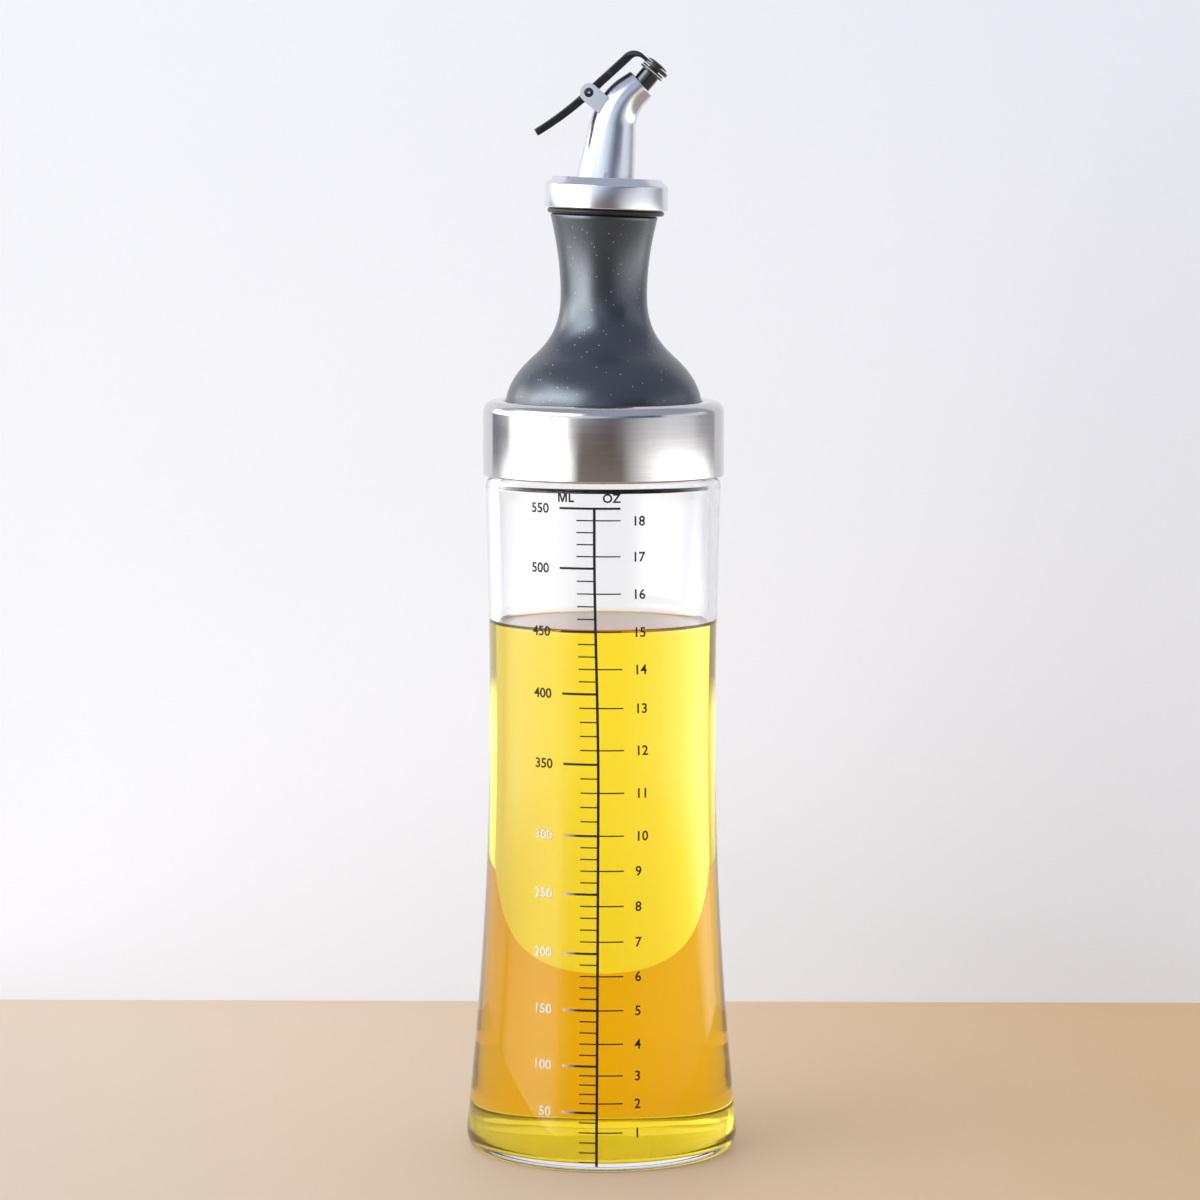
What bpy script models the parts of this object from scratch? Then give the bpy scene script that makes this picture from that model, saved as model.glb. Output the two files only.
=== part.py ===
"""Oil dispenser bottle, part filled, with a flip-lever pourer.

Metres, Z up. The origin is on the bottle's axis, on the surface that it stands on.
The side that carries the measuring scale faces -Y, and the spout points to +X.
"""
import math

import bmesh
import bpy
from mathutils import Matrix, Vector

MM = 0.001
GAP = 0.3 * MM
WELD = 0.01 * MM
SMOOTH_ANGLE = math.radians(32)

# Glass bottle
BASE_RADIUS = 38.4 * MM
BASE_HEIGHT = 5.0 * MM
FOOT_ROUNDING = 2.0 * MM
WAIST_RADIUS = 31.85 * MM
WAIST_HEIGHT = 118.0 * MM
LOWER_FLARE_POWER = 1.85
UPPER_FLARE_POWER = 2.0
SHOULDER_RADIUS = 32.95 * MM
SHOULDER_HEIGHT = 187.8 * MM
SHOULDER_ROUNDING = 2.5 * MM
GLASS_WALL = 2.7 * MM
FLOOR_HEIGHT = 2.4 * MM
FLOOR_ROUNDING = 7.0 * MM
CAVITY_SHOULDER = 187.0 * MM
SHOULDER_GLASS = 1.0 * MM
GLASS_NECK_RADIUS = 30.3 * MM
GLASS_NECK_BORE = 27.0 * MM
GLASS_TOP = 206.0 * MM
RIM_ROUNDING = 1.2 * MM

# Oil
OIL_LEVEL = 149.0 * MM

# Steel collar
COLLAR_RADIUS = 33.8 * MM
COLLAR_BOTTOM = 190.5 * MM
COLLAR_TOP = 211.5 * MM
COLLAR_ROUNDING = 3.3 * MM
COLLAR_BORE = GLASS_NECK_RADIUS + GAP
COLLAR_LIP_RADIUS = 28.1 * MM
COLLAR_LIP_THICKNESS = 2.7 * MM
COLLAR_FOOT_ROUNDING = 0.5 * MM

# Moulded neck, a bell under a waisted tube
NECK_TOP = 263.0 * MM
NECK_TOP_RADIUS = 14.9 * MM
NECK_TOP_ROUNDING = 0.6 * MM
NECK_WAIST_RADIUS = 12.1 * MM
NECK_WAIST_HEIGHT = 241.0 * MM
BELL_TURN_RADIUS = 20.0 * MM
BELL_TURN_HEIGHT = 223.5 * MM
BELL_RADIUS = 27.45 * MM
BELL_FOOT = 210.9 * MM
NECK_WALL = 2.1 * MM
FLANGE_RADIUS = 30.2 * MM
FLANGE_BOTTOM = GLASS_TOP + GAP
FLANGE_TOP = COLLAR_TOP - COLLAR_LIP_THICKNESS - GAP

# Pourer, pushed into the neck slightly askew; its own frame starts under the disc
POURER_LEAN = math.radians(2.0)
POURER_PIVOT_HEIGHT = 250.0 * MM
DISC_BOTTOM = 264.8 * MM
DISC_HEIGHT = 8.7 * MM
DISC_RADIUS = 17.35 * MM
DISC_SHOULDER_RADIUS = 17.1 * MM
DISC_SHOULDER_HEIGHT = 6.5 * MM
DISC_TOP_RADIUS = 14.9 * MM
DISC_EDGE = 0.3 * MM
SPIGOT_RADIUS = 5.7 * MM
SPIGOT_LENGTH = 8.0 * MM
GASKET_RADIUS = 16.3 * MM
GASKET_THICKNESS = 1.2 * MM
PLUG_TOP_RADIUS = 11.3 * MM
PLUG_BOTTOM_RADIUS = 9.5 * MM
PLUG_LENGTH = 18.0 * MM
PLUG_BORE = SPIGOT_RADIUS + GAP

# Spout, a tapered tube that leans and then bends over
SPOUT_BASE_X = -0.3 * MM
SPOUT_BASE_RADIUS = 8.15 * MM
SPOUT_ROOT = 1.5 * MM
SPOUT_MOUTH_RADIUS = 4.7 * MM
SPOUT_TAPER_POWER = 1.15
SPOUT_LEAN = math.radians(5.0)
SPOUT_RISE = 13.6 * MM
SPOUT_BEND_RADIUS = 16.0 * MM
SPOUT_BEND_LEAN = math.radians(47.5)
SPOUT_REACH = 3.4 * MM
SPOUT_LIP = 0.3 * MM
SPOUT_BORE = 3.1 * MM

# Nozzle tip in the spout's mouth
NOZZLE_X = 8.8 * MM
NOZZLE_Z = 35.2 * MM
NOZZLE_ANGLE = math.radians(52.0)
NOZZLE_RADIUS = 2.8 * MM
NOZZLE_BORE = 1.8 * MM
NOZZLE_INSERTED = 6.5 * MM
NOZZLE_EXPOSED = 4.1 * MM
NOZZLE_FLANGE_RADIUS = 3.75 * MM
NOZZLE_FLANGE_THICKNESS = 0.5 * MM

# Ears that carry the lever's hinge
HINGE_X = -5.93 * MM
HINGE_Z = 31.98 * MM
EAR_RADIUS = 2.6 * MM
EAR_LENGTH = 6.2 * MM
EAR_ANGLE = math.radians(-39.0)
EAR_INNER = 3.1 * MM
EAR_THICKNESS = 1.5 * MM

# Lever, along its middle line from the hinge
LEVER_WIDTH = 2 * (EAR_INNER - GAP)
LEVER_THICKNESS = 2.4 * MM
LEVER_EDGE = 0.25 * MM
ARM_ANGLE = math.radians(44.5)
ARM_BEND_RADIUS = 3.0 * MM
HEAD_THICKNESS = 1.1 * MM
HEAD_RADIUS = 4.1 * MM
TAIL_ANGLE = math.radians(225.0)
TAIL_TURN = math.radians(-12.0)
TAIL_LENGTH = 18.4 * MM
TAIL_THICKNESS = 2.1 * MM
HUB_RADIUS = 2.3 * MM
TRUNNION_RADIUS = 1.0 * MM
TRUNNION_EDGE = 0.2 * MM
RECESS_RIM = 0.5 * MM
RECESS_DEPTH = 0.7 * MM

# Seal under the lever's head, with a domed button through it
SEAL_RADIUS = 3.5 * MM
SEAL_THICKNESS = 0.4 * MM
STEM_RADIUS = 1.5 * MM
BUTTON_RADIUS = 3.2 * MM
BUTTON_HEIGHT = 0.7 * MM

GLASS_SEGMENTS = 44
NECK_SEGMENTS = 32
SMALL_SEGMENTS = 24


def new_collection(name):
    """Empty collection linked to the scene."""
    collection = bpy.data.collections.new(name)
    bpy.context.scene.collection.children.link(collection)
    return collection


def material(name, colour, roughness, metallic=0.0, transmission=0.0, ior=1.5):
    """Principled material in one plain finish."""
    finish = bpy.data.materials.new(name)
    finish.use_nodes = True
    shader = finish.node_tree.nodes["Principled BSDF"]
    shader.inputs["Base Color"].default_value = (*colour, 1.0)
    shader.inputs["Roughness"].default_value = roughness
    shader.inputs["Metallic"].default_value = metallic
    shader.inputs["Transmission Weight"].default_value = transmission
    shader.inputs["IOR"].default_value = ior
    finish.diffuse_color = (*colour, 1.0)
    return finish


def arc(centre, radii, start, end, steps):
    """Points (x, y) on an ellipse's arc; the angles are in degrees."""
    angles = [math.radians(start + (end - start) * i / steps) for i in range(steps + 1)]
    return [(centre[0] + radii[0] * math.cos(a), centre[1] + radii[1] * math.sin(a)) for a in angles]


def bezier(start, near_start, near_end, end, steps):
    """Points on a cubic curve, the first one left out."""
    points = []
    for i in range(1, steps + 1):
        t = i / steps
        shares = ((1 - t) ** 3, 3 * t * (1 - t) ** 2, 3 * t * t * (1 - t), t ** 3)
        corners = (start, near_start, near_end, end)
        points.append(tuple(sum(s * c[k] for s, c in zip(shares, corners)) for k in (0, 1)))
    return points


def offset_line(points, distance):
    """The same line moved to its right by distance."""
    moved = []
    for i, (x, y) in enumerate(points):
        before, after = points[max(i - 1, 0)], points[min(i + 1, len(points) - 1)]
        dx, dy = after[0] - before[0], after[1] - before[1]
        length = math.hypot(dx, dy)
        moved.append((x + dy / length * distance, y - dx / length * distance))
    return moved


def turned(name, outline, segments, collection, closed=False):
    """Solid of revolution about Z; the (r, z) outline runs down its outer side."""
    edges = [(i, i + 1) for i in range(len(outline) - 1)]
    if closed:
        edges.append((len(outline) - 1, 0))
    mesh = bpy.data.meshes.new(name)
    mesh.from_pydata([(r, 0, z) for r, z in outline], edges, [])
    solid = bpy.data.objects.new(name, mesh)
    collection.objects.link(solid)
    screw = solid.modifiers.new("Turn", "SCREW")
    screw.steps = segments
    screw.render_steps = segments
    screw.use_merge_vertices = True
    screw.merge_threshold = WELD
    screw.use_smooth_shade = True
    return solid


def mesh_from_curve(curve_object, collection):
    """Mesh object with welded caps in place of a curve object."""
    bpy.context.view_layer.update()
    name, matrix = curve_object.name, curve_object.matrix_world.copy()
    evaluated = curve_object.evaluated_get(bpy.context.evaluated_depsgraph_get())
    mesh = bpy.data.meshes.new_from_object(evaluated)
    work = bmesh.new()
    work.from_mesh(mesh)
    bmesh.ops.remove_doubles(work, verts=work.verts, dist=WELD)
    bmesh.ops.recalc_face_normals(work, faces=work.faces)
    work.to_mesh(mesh)
    work.free()
    bpy.data.objects.remove(curve_object)
    solid = bpy.data.objects.new(name, mesh)
    solid.matrix_world = matrix
    collection.objects.link(solid)
    return solid


def tube(name, path, radii, sides, collection):
    """Round solid along a path, with its own radius at each point."""
    curve = bpy.data.curves.new(name, "CURVE")
    curve.dimensions = "3D"
    curve.bevel_depth = 1.0
    curve.bevel_resolution = sides // 2 - 2
    curve.use_fill_caps = True
    spline = curve.splines.new("POLY")
    spline.points.add(len(path) - 1)
    for point, (x, z), radius in zip(spline.points, path, radii):
        point.co = (x, 0, z, 1)
        point.radius = radius
    curve_object = bpy.data.objects.new(name, curve)
    bpy.context.scene.collection.objects.link(curve_object)
    return mesh_from_curve(curve_object, collection)


def plate(name, outline, thickness, middle_y, collection, edge=0.0):
    """Flat plate with an (x, z) outline, centred on y = middle_y."""
    curve = bpy.data.curves.new(name, "CURVE")
    curve.dimensions = "2D"
    curve.fill_mode = "BOTH"
    curve.extrude = thickness / 2 - edge
    curve.bevel_depth = edge
    curve.bevel_resolution = 1
    curve.offset = -edge
    spline = curve.splines.new("POLY")
    spline.points.add(len(outline) - 1)
    for point, (x, z) in zip(spline.points, outline):
        point.co = (x, z, 0, 1)
    spline.use_cyclic_u = True
    curve_object = bpy.data.objects.new(name, curve)
    curve_object.matrix_world = Matrix.Translation((0, middle_y, 0)) @ Matrix.Rotation(math.pi / 2, 4, "X")
    bpy.context.scene.collection.objects.link(curve_object)
    return mesh_from_curve(curve_object, collection)


def combine(target, operation, *tools):
    """Boolean each tool into the target, in order."""
    for tool in tools:
        step = target.modifiers.new(tool.name, "BOOLEAN")
        step.operation = operation
        step.solver = "EXACT"
        step.object = tool
        tool.hide_render = True
        tool.display_type = "WIRE"


def glass_radius(height):
    """Outer radius of the glass between its foot and its shoulder."""
    if height < WAIST_HEIGHT:
        share = (WAIST_HEIGHT - height) / (WAIST_HEIGHT - BASE_HEIGHT)
        return WAIST_RADIUS + (BASE_RADIUS - WAIST_RADIUS) * share ** LOWER_FLARE_POWER
    share = (height - WAIST_HEIGHT) / (SHOULDER_HEIGHT - WAIST_HEIGHT)
    return WAIST_RADIUS + (SHOULDER_RADIUS - WAIST_RADIUS) * share ** UPPER_FLARE_POWER


def wall_line(start, end, steps, inset):
    """Points of the glass wall between two heights, moved in by inset."""
    heights = [start + (end - start) * i / steps for i in range(steps + 1)]
    return [(glass_radius(h) - inset, h) for h in heights]


def cavity_line(inset):
    """The cavity's floor corner and wall up to the shoulder, moved in by inset."""
    corner_top = FLOOR_HEIGHT + FLOOR_ROUNDING
    corner_radius = glass_radius(corner_top) - GLASS_WALL - FLOOR_ROUNDING
    size = FLOOR_ROUNDING - inset
    corner = arc((corner_radius, corner_top), (size, size), -90, -15, 4)
    return corner, wall_line(corner_top, CAVITY_SHOULDER, 9, GLASS_WALL + inset)


def make_glass(collection):
    """Open glass bottle with a flared foot and a plain neck."""
    corner, inner_wall = cavity_line(0.0)
    top_of_wall = inner_wall[-1]
    neck_start = SHOULDER_HEIGHT + SHOULDER_ROUNDING
    to_neck = bezier(
        top_of_wall,
        (top_of_wall[0], neck_start - SHOULDER_GLASS),
        (GLASS_NECK_BORE, neck_start - SHOULDER_GLASS),
        (GLASS_NECK_BORE, neck_start + GLASS_WALL),
        5,
    )
    rim_height = GLASS_TOP - RIM_ROUNDING
    rim_size = (RIM_ROUNDING, RIM_ROUNDING)
    rim = arc((GLASS_NECK_BORE + RIM_ROUNDING, rim_height), rim_size, 180, 90, 3)
    rim += arc((GLASS_NECK_RADIUS - RIM_ROUNDING, rim_height), rim_size, 90, 0, 3)
    shoulder_run = SHOULDER_RADIUS - GLASS_NECK_RADIUS
    shoulder = arc((GLASS_NECK_RADIUS, SHOULDER_HEIGHT), (shoulder_run, SHOULDER_ROUNDING), 90, 0, 4)
    outer_wall = wall_line(SHOULDER_HEIGHT, BASE_HEIGHT, 12, 0.0)[1:]
    foot = arc((BASE_RADIUS - FOOT_ROUNDING, BASE_HEIGHT), (FOOT_ROUNDING, BASE_HEIGHT), 0, -90, 5)[1:]
    outline = [(0, FLOOR_HEIGHT)] + corner + inner_wall + to_neck + rim + shoulder
    outline += outer_wall + foot + [(0, 0)]
    return turned("glass_bottle", outline, GLASS_SEGMENTS, collection)


def make_oil(collection):
    """Oil from the cavity's floor up to its level."""
    corner, wall = cavity_line(GAP)
    below = [point for point in wall if point[1] < OIL_LEVEL]
    level_radius = glass_radius(OIL_LEVEL) - GLASS_WALL - GAP
    outline = [(0, OIL_LEVEL), (level_radius, OIL_LEVEL)]
    outline += below[::-1] + corner[::-1] + [(0, FLOOR_HEIGHT + GAP)]
    return turned("oil", outline, GLASS_SEGMENTS, collection)


def make_collar(collection):
    """Steel collar that holds the neck down on the glass."""
    size = (COLLAR_ROUNDING, COLLAR_ROUNDING)
    shoulder = arc((COLLAR_RADIUS - COLLAR_ROUNDING, COLLAR_TOP - COLLAR_ROUNDING), size, 90, 0, 6)
    foot_size = (COLLAR_FOOT_ROUNDING, COLLAR_FOOT_ROUNDING)
    foot_centre = (COLLAR_RADIUS - COLLAR_FOOT_ROUNDING, COLLAR_BOTTOM + COLLAR_FOOT_ROUNDING)
    foot = arc(foot_centre, foot_size, 0, -90, 3)
    lip_bottom = COLLAR_TOP - COLLAR_LIP_THICKNESS
    outline = [(COLLAR_LIP_RADIUS, COLLAR_TOP)] + shoulder + foot
    outline += [(COLLAR_BORE, COLLAR_BOTTOM), (COLLAR_BORE, lip_bottom), (COLLAR_LIP_RADIUS, lip_bottom)]
    return turned("collar", outline, GLASS_SEGMENTS, collection, closed=True)


def make_neck(collection):
    """Hollow moulded neck: a waisted tube that opens into a bell with a flange."""
    rounding = (NECK_TOP_ROUNDING, NECK_TOP_ROUNDING)
    top_centre = (NECK_TOP_RADIUS - NECK_TOP_ROUNDING, NECK_TOP - NECK_TOP_ROUNDING)
    top_edge = arc(top_centre, rounding, 90, 0, 3)
    waist = (NECK_WAIST_RADIUS, NECK_WAIST_HEIGHT)
    turn = (BELL_TURN_RADIUS, BELL_TURN_HEIGHT)
    side = [top_edge[-1]]
    side += bezier(side[0], (13.5 * MM, 256.5 * MM), (NECK_WAIST_RADIUS, 250.0 * MM), waist, 5)
    side += bezier(waist, (NECK_WAIST_RADIUS, 233.0 * MM), (14.4 * MM, 228.5 * MM), turn, 5)
    side += bezier(turn, (24.2 * MM, 219.7 * MM), (27.0 * MM, 215.5 * MM), (BELL_RADIUS, BELL_FOOT), 6)
    inside = offset_line(side, NECK_WALL)
    inside[0] = (inside[0][0], NECK_TOP)
    inside[-1] = (BELL_RADIUS - NECK_WALL, BELL_FOOT)
    outline = top_edge[:-1] + side
    outline += [(BELL_RADIUS, FLANGE_TOP), (FLANGE_RADIUS, FLANGE_TOP), (FLANGE_RADIUS, FLANGE_BOTTOM)]
    outline += [(BELL_RADIUS - NECK_WALL, FLANGE_BOTTOM)] + inside[::-1]
    return turned("neck", outline, NECK_SEGMENTS, collection, closed=True)


def lean_top(neck):
    """Tilt the neck's top with the pourer, more and more from the waist up."""
    for vertex in neck.data.vertices:
        share = max(vertex.co.z - NECK_WAIST_HEIGHT, 0.0) / (NECK_TOP - NECK_WAIST_HEIGHT)
        vertex.co.z -= math.tan(POURER_LEAN) * vertex.co.x * share * share


def make_stopper(collection):
    """Rubber gasket ring with the tapered sleeve that plugs the neck."""
    top, bottom = -GAP, -GAP - GASKET_THICKNESS
    edge = GASKET_THICKNESS / 3
    outline = [(PLUG_BORE, top), (GASKET_RADIUS - edge, top), (GASKET_RADIUS, top - edge)]
    outline += [(GASKET_RADIUS, bottom + edge), (GASKET_RADIUS - edge, bottom), (PLUG_TOP_RADIUS, bottom)]
    outline += [(PLUG_BOTTOM_RADIUS, -PLUG_LENGTH), (PLUG_BORE, -PLUG_LENGTH)]
    return turned("stopper", outline, NECK_SEGMENTS, collection, closed=True)


def spout_line():
    """Middle line of the spout, each point with its radius."""
    start = Vector((SPOUT_BASE_X, DISC_HEIGHT))
    rising = Vector((math.tan(SPOUT_LEAN), 1))
    points = [start + height * rising for height in (-SPOUT_ROOT, SPOUT_RISE / 2, SPOUT_RISE)]
    bend_steps = 8
    for i in range(1, bend_steps + 1):
        lean = SPOUT_LEAN + (SPOUT_BEND_LEAN - SPOUT_LEAN) * (i - 0.5) / bend_steps
        step = SPOUT_BEND_RADIUS * (SPOUT_BEND_LEAN - SPOUT_LEAN) / bend_steps
        points.append(points[-1] + step * Vector((math.sin(lean), math.cos(lean))))
    out = Vector((math.sin(SPOUT_BEND_LEAN), math.cos(SPOUT_BEND_LEAN)))
    points += [points[-1] + SPOUT_REACH / 2 * out, points[-1] + (SPOUT_REACH - SPOUT_LIP) * out]
    lengths = [0.0]
    for before, after in zip(points, points[1:]):
        lengths.append(lengths[-1] + (after - before).length)
    narrowing = SPOUT_BASE_RADIUS - SPOUT_MOUTH_RADIUS
    radii = [SPOUT_BASE_RADIUS - narrowing * (s / lengths[-1]) ** SPOUT_TAPER_POWER for s in lengths]
    points.append(points[-1] + SPOUT_LIP * out)
    radii.append(SPOUT_MOUTH_RADIUS - SPOUT_LIP)
    return points, radii


def nozzle_point(distance):
    """Point on the nozzle's axis, measured out from the spout's mouth."""
    return Vector((NOZZLE_X, NOZZLE_Z)) + distance * Vector((math.cos(NOZZLE_ANGLE), math.sin(NOZZLE_ANGLE)))


def bore_line():
    """Middle line of the passage from the spigot's foot to the mouth."""
    foot = [(0, -SPIGOT_LENGTH - 2 * GAP), (0, DISC_HEIGHT)]
    entry = nozzle_point(-NOZZLE_INSERTED - GAP)
    lower = (0, DISC_HEIGHT + SPOUT_RISE / 2)
    steer = NOZZLE_INSERTED * Vector((math.cos(NOZZLE_ANGLE), math.sin(NOZZLE_ANGLE)))
    bend = bezier(foot[-1], lower, tuple(entry - steer), tuple(entry), 8)
    return foot + bend + [tuple(nozzle_point(NOZZLE_EXPOSED))]


def ear_outline():
    """Plate with a round end at the hinge and a square end on the spout."""
    turn = math.degrees(EAR_ANGLE)
    hinge = (HINGE_X, HINGE_Z)
    outline = arc(hinge, (EAR_RADIUS, EAR_RADIUS), turn + 90, turn + 270, 10)
    along = Vector((math.cos(EAR_ANGLE), math.sin(EAR_ANGLE)))
    across = Vector((-along.y, along.x)) * EAR_RADIUS
    end = Vector(hinge) + EAR_LENGTH * along
    return outline + [tuple(end - across), tuple(end + across)]


def make_spout(parts, tools):
    """Disc, bent spout and ears in one moulding, bored for the oil."""
    outline = [(0, DISC_HEIGHT), (DISC_TOP_RADIUS, DISC_HEIGHT)]
    outline += [(DISC_SHOULDER_RADIUS, DISC_SHOULDER_HEIGHT), (DISC_RADIUS, DISC_EDGE)]
    outline += [(DISC_RADIUS - DISC_EDGE, 0), (SPIGOT_RADIUS, 0)]
    outline += [(SPIGOT_RADIUS, -SPIGOT_LENGTH), (0, -SPIGOT_LENGTH)]
    spout = turned("spout", outline, NECK_SEGMENTS, parts)
    path, radii = spout_line()
    combine(spout, "UNION", tube("horn", path, radii, SMALL_SEGMENTS, tools))
    for side in (-1, 1):
        middle = side * (EAR_INNER + EAR_THICKNESS / 2)
        combine(spout, "UNION", plate(f"ear_{side}", ear_outline(), EAR_THICKNESS, middle, tools))
    bore_path = bore_line()
    bore = tube("bore", bore_path, [SPOUT_BORE] * len(bore_path), 16, tools)
    hole_radius = TRUNNION_RADIUS + GAP
    hole = arc((HINGE_X, HINGE_Z), (hole_radius, hole_radius), 0, 337.5, 15)
    combine(spout, "DIFFERENCE", bore, plate("trunnion_hole", hole, 4 * EAR_INNER, 0.0, tools))
    return spout


def make_nozzle(collection):
    """Tip that lines the spout's mouth, with a thin flange at its end."""
    tip = NOZZLE_EXPOSED
    under = tip - NOZZLE_FLANGE_THICKNESS
    outline = [(NOZZLE_BORE, tip), (NOZZLE_FLANGE_RADIUS, tip), (NOZZLE_FLANGE_RADIUS, under)]
    outline += [(NOZZLE_RADIUS, under), (NOZZLE_RADIUS, -NOZZLE_INSERTED), (NOZZLE_BORE, -NOZZLE_INSERTED)]
    nozzle = turned("nozzle", outline, SMALL_SEGMENTS, collection, closed=True)
    turn = Matrix.Rotation(math.pi / 2 - NOZZLE_ANGLE, 4, "Y")
    nozzle.matrix_world = Matrix.Translation((NOZZLE_X, 0, NOZZLE_Z)) @ turn
    return nozzle


def tail_point(share):
    """Point on the tail's middle line, by share of its length, with its half thickness."""
    radius = TAIL_LENGTH / TAIL_TURN
    heading = TAIL_ANGLE + TAIL_TURN * share
    x = radius * (math.sin(heading) - math.sin(TAIL_ANGLE))
    z = radius * (math.cos(TAIL_ANGLE) - math.cos(heading))
    return x, z, (LEVER_THICKNESS + (TAIL_THICKNESS - LEVER_THICKNESS) * share) / 2


def arm_length():
    """Straight length of the arm, from the hinge to the bend that leads it into the head."""
    along = Vector((math.cos(ARM_ANGLE), math.sin(ARM_ANGLE)))
    out = Vector((math.sin(NOZZLE_ANGLE), -math.cos(NOZZLE_ANGLE)))
    head = head_frame().translation
    corner = Vector((head.x, head.z)).cross(out) / along.cross(out)
    turn = ARM_ANGLE + math.pi / 2 - NOZZLE_ANGLE
    return corner - ARM_BEND_RADIUS * math.tan(turn / 2)


def arm_point(share):
    """Point on the arm's middle line, by share of its length, with its half thickness."""
    distance = arm_length() * share
    return distance * math.cos(ARM_ANGLE), distance * math.sin(ARM_ANGLE), LEVER_THICKNESS / 2


def lever_line():
    """Middle line from the tail's tip to the head, each point with its half thickness."""
    line = [tail_point(1 - i / 8) for i in range(8)] + [arm_point(0), arm_point(0.6)]
    arm_end = Vector(arm_point(1)[:2])
    centre = arm_end + ARM_BEND_RADIUS * Vector((math.sin(ARM_ANGLE), -math.cos(ARM_ANGLE)))
    head_angle = NOZZLE_ANGLE - math.pi / 2
    bend_steps = 7
    for i in range(bend_steps + 1):
        share = i / bend_steps
        angle = ARM_ANGLE + (head_angle - ARM_ANGLE) * share + math.pi / 2
        point = centre + ARM_BEND_RADIUS * Vector((math.cos(angle), math.sin(angle)))
        line.append((*point, (LEVER_THICKNESS + (HEAD_THICKNESS - LEVER_THICKNESS) * share) / 2))
    head = head_frame().translation
    return line + [(head.x, head.z, HEAD_THICKNESS / 2)]


def stroke(line, rim=0.0):
    """Closed outline of a middle line's thickness, less a rim on both sides."""
    left, right = [], []
    for i, (x, z, half) in enumerate(line):
        before, after = line[max(i - 1, 0)], line[min(i + 1, len(line) - 1)]
        across = Vector((after[1] - before[1], before[0] - after[0])).normalized() * (half - rim)
        right.append((x + across.x, z + across.y))
        left.append((x - across.x, z - across.y))
    return right + left[::-1]


def head_frame():
    """Frame at the middle of the lever's head, Z out along the nozzle's axis."""
    height = NOZZLE_EXPOSED + SEAL_THICKNESS + 2 * GAP + HEAD_THICKNESS / 2
    place = nozzle_point(height) - Vector((HINGE_X, HINGE_Z))
    return Matrix.Translation((place.x, 0, place.y)) @ Matrix.Rotation(math.pi / 2 - NOZZLE_ANGLE, 4, "Y")


def drum(name, radius, length, edge, segments, matrix, collection):
    """Short solid cylinder about its own Z, with chamfered edges."""
    half = length / 2
    outline = [(0, half), (radius - edge, half), (radius, half - edge)]
    solid = turned(name, outline + [(r, -z) for r, z in outline[::-1]], segments, collection)
    solid.matrix_world = matrix
    return solid


def make_lever(parts, tools):
    """Thumb lever: tail, hub with trunnions, bent arm and round head."""
    lever = plate("lever", stroke(lever_line()), LEVER_WIDTH, 0.0, parts, edge=LEVER_EDGE)
    across = Matrix.Rotation(math.pi / 2, 4, "X")
    trunnion_length = 2 * (EAR_INNER + EAR_THICKNESS)
    combine(
        lever,
        "UNION",
        drum("hub", HUB_RADIUS, LEVER_WIDTH, LEVER_EDGE, SMALL_SEGMENTS, across, tools),
        drum("trunnions", TRUNNION_RADIUS, trunnion_length, TRUNNION_EDGE, 16, across, tools),
        drum("head", HEAD_RADIUS, HEAD_THICKNESS, LEVER_EDGE, SMALL_SEGMENTS, head_frame(), tools),
    )
    stem_hole = drum("stem_hole", STEM_RADIUS + GAP, 2 * HEAD_THICKNESS, 0.0, 16, head_frame(), tools)
    combine(lever, "DIFFERENCE", stem_hole)
    stretches = {"tail": [tail_point(share) for share in (0.93, 0.75, 0.55, 0.38, 0.2)]}
    stretches["arm"] = [arm_point(share) for share in (0.24, 0.5)]
    stretches["shoulder"] = [arm_point(share) for share in (0.58, 0.95)]
    for label, stretch in stretches.items():
        for side in (-1, 1):
            name = f"recess_{label}_{side}"
            middle = side * LEVER_WIDTH / 2
            recess = plate(name, stroke(stretch, RECESS_RIM), 2 * RECESS_DEPTH, middle, tools)
            combine(lever, "DIFFERENCE", recess)
    return lever


def make_seal(collection):
    """Soft seal: a disc under the lever's head, a stem through it and a domed button on top."""
    over = HEAD_THICKNESS / 2 + GAP
    under = -over - SEAL_THICKNESS
    outline = [(0, over + BUTTON_HEIGHT)]
    outline += arc((0, over), (BUTTON_RADIUS, BUTTON_HEIGHT), 90, 0, 5)[1:]
    outline += [(STEM_RADIUS, over), (STEM_RADIUS, -over), (SEAL_RADIUS, -over), (SEAL_RADIUS, under)]
    seal = turned("seal", outline + [(0, under)], SMALL_SEGMENTS, collection)
    seal.matrix_world = head_frame()
    return seal


def empty(name, matrix, collection, parent=None):
    """Empty that carries the pieces of one frame."""
    frame = bpy.data.objects.new(name, None)
    frame.empty_display_size = 10 * MM
    frame.parent = parent
    frame.matrix_basis = matrix
    collection.objects.link(frame)
    return frame


def settle(solid):
    """Apply a piece's modifiers and shade it smooth between its sharp edges."""
    evaluated = solid.evaluated_get(bpy.context.evaluated_depsgraph_get())
    mesh = bpy.data.meshes.new_from_object(evaluated)
    mesh.name = solid.name
    mesh.shade_smooth()
    mesh.set_sharp_from_angle(angle=SMOOTH_ANGLE)
    solid.modifiers.clear()
    solid.data = mesh


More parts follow.
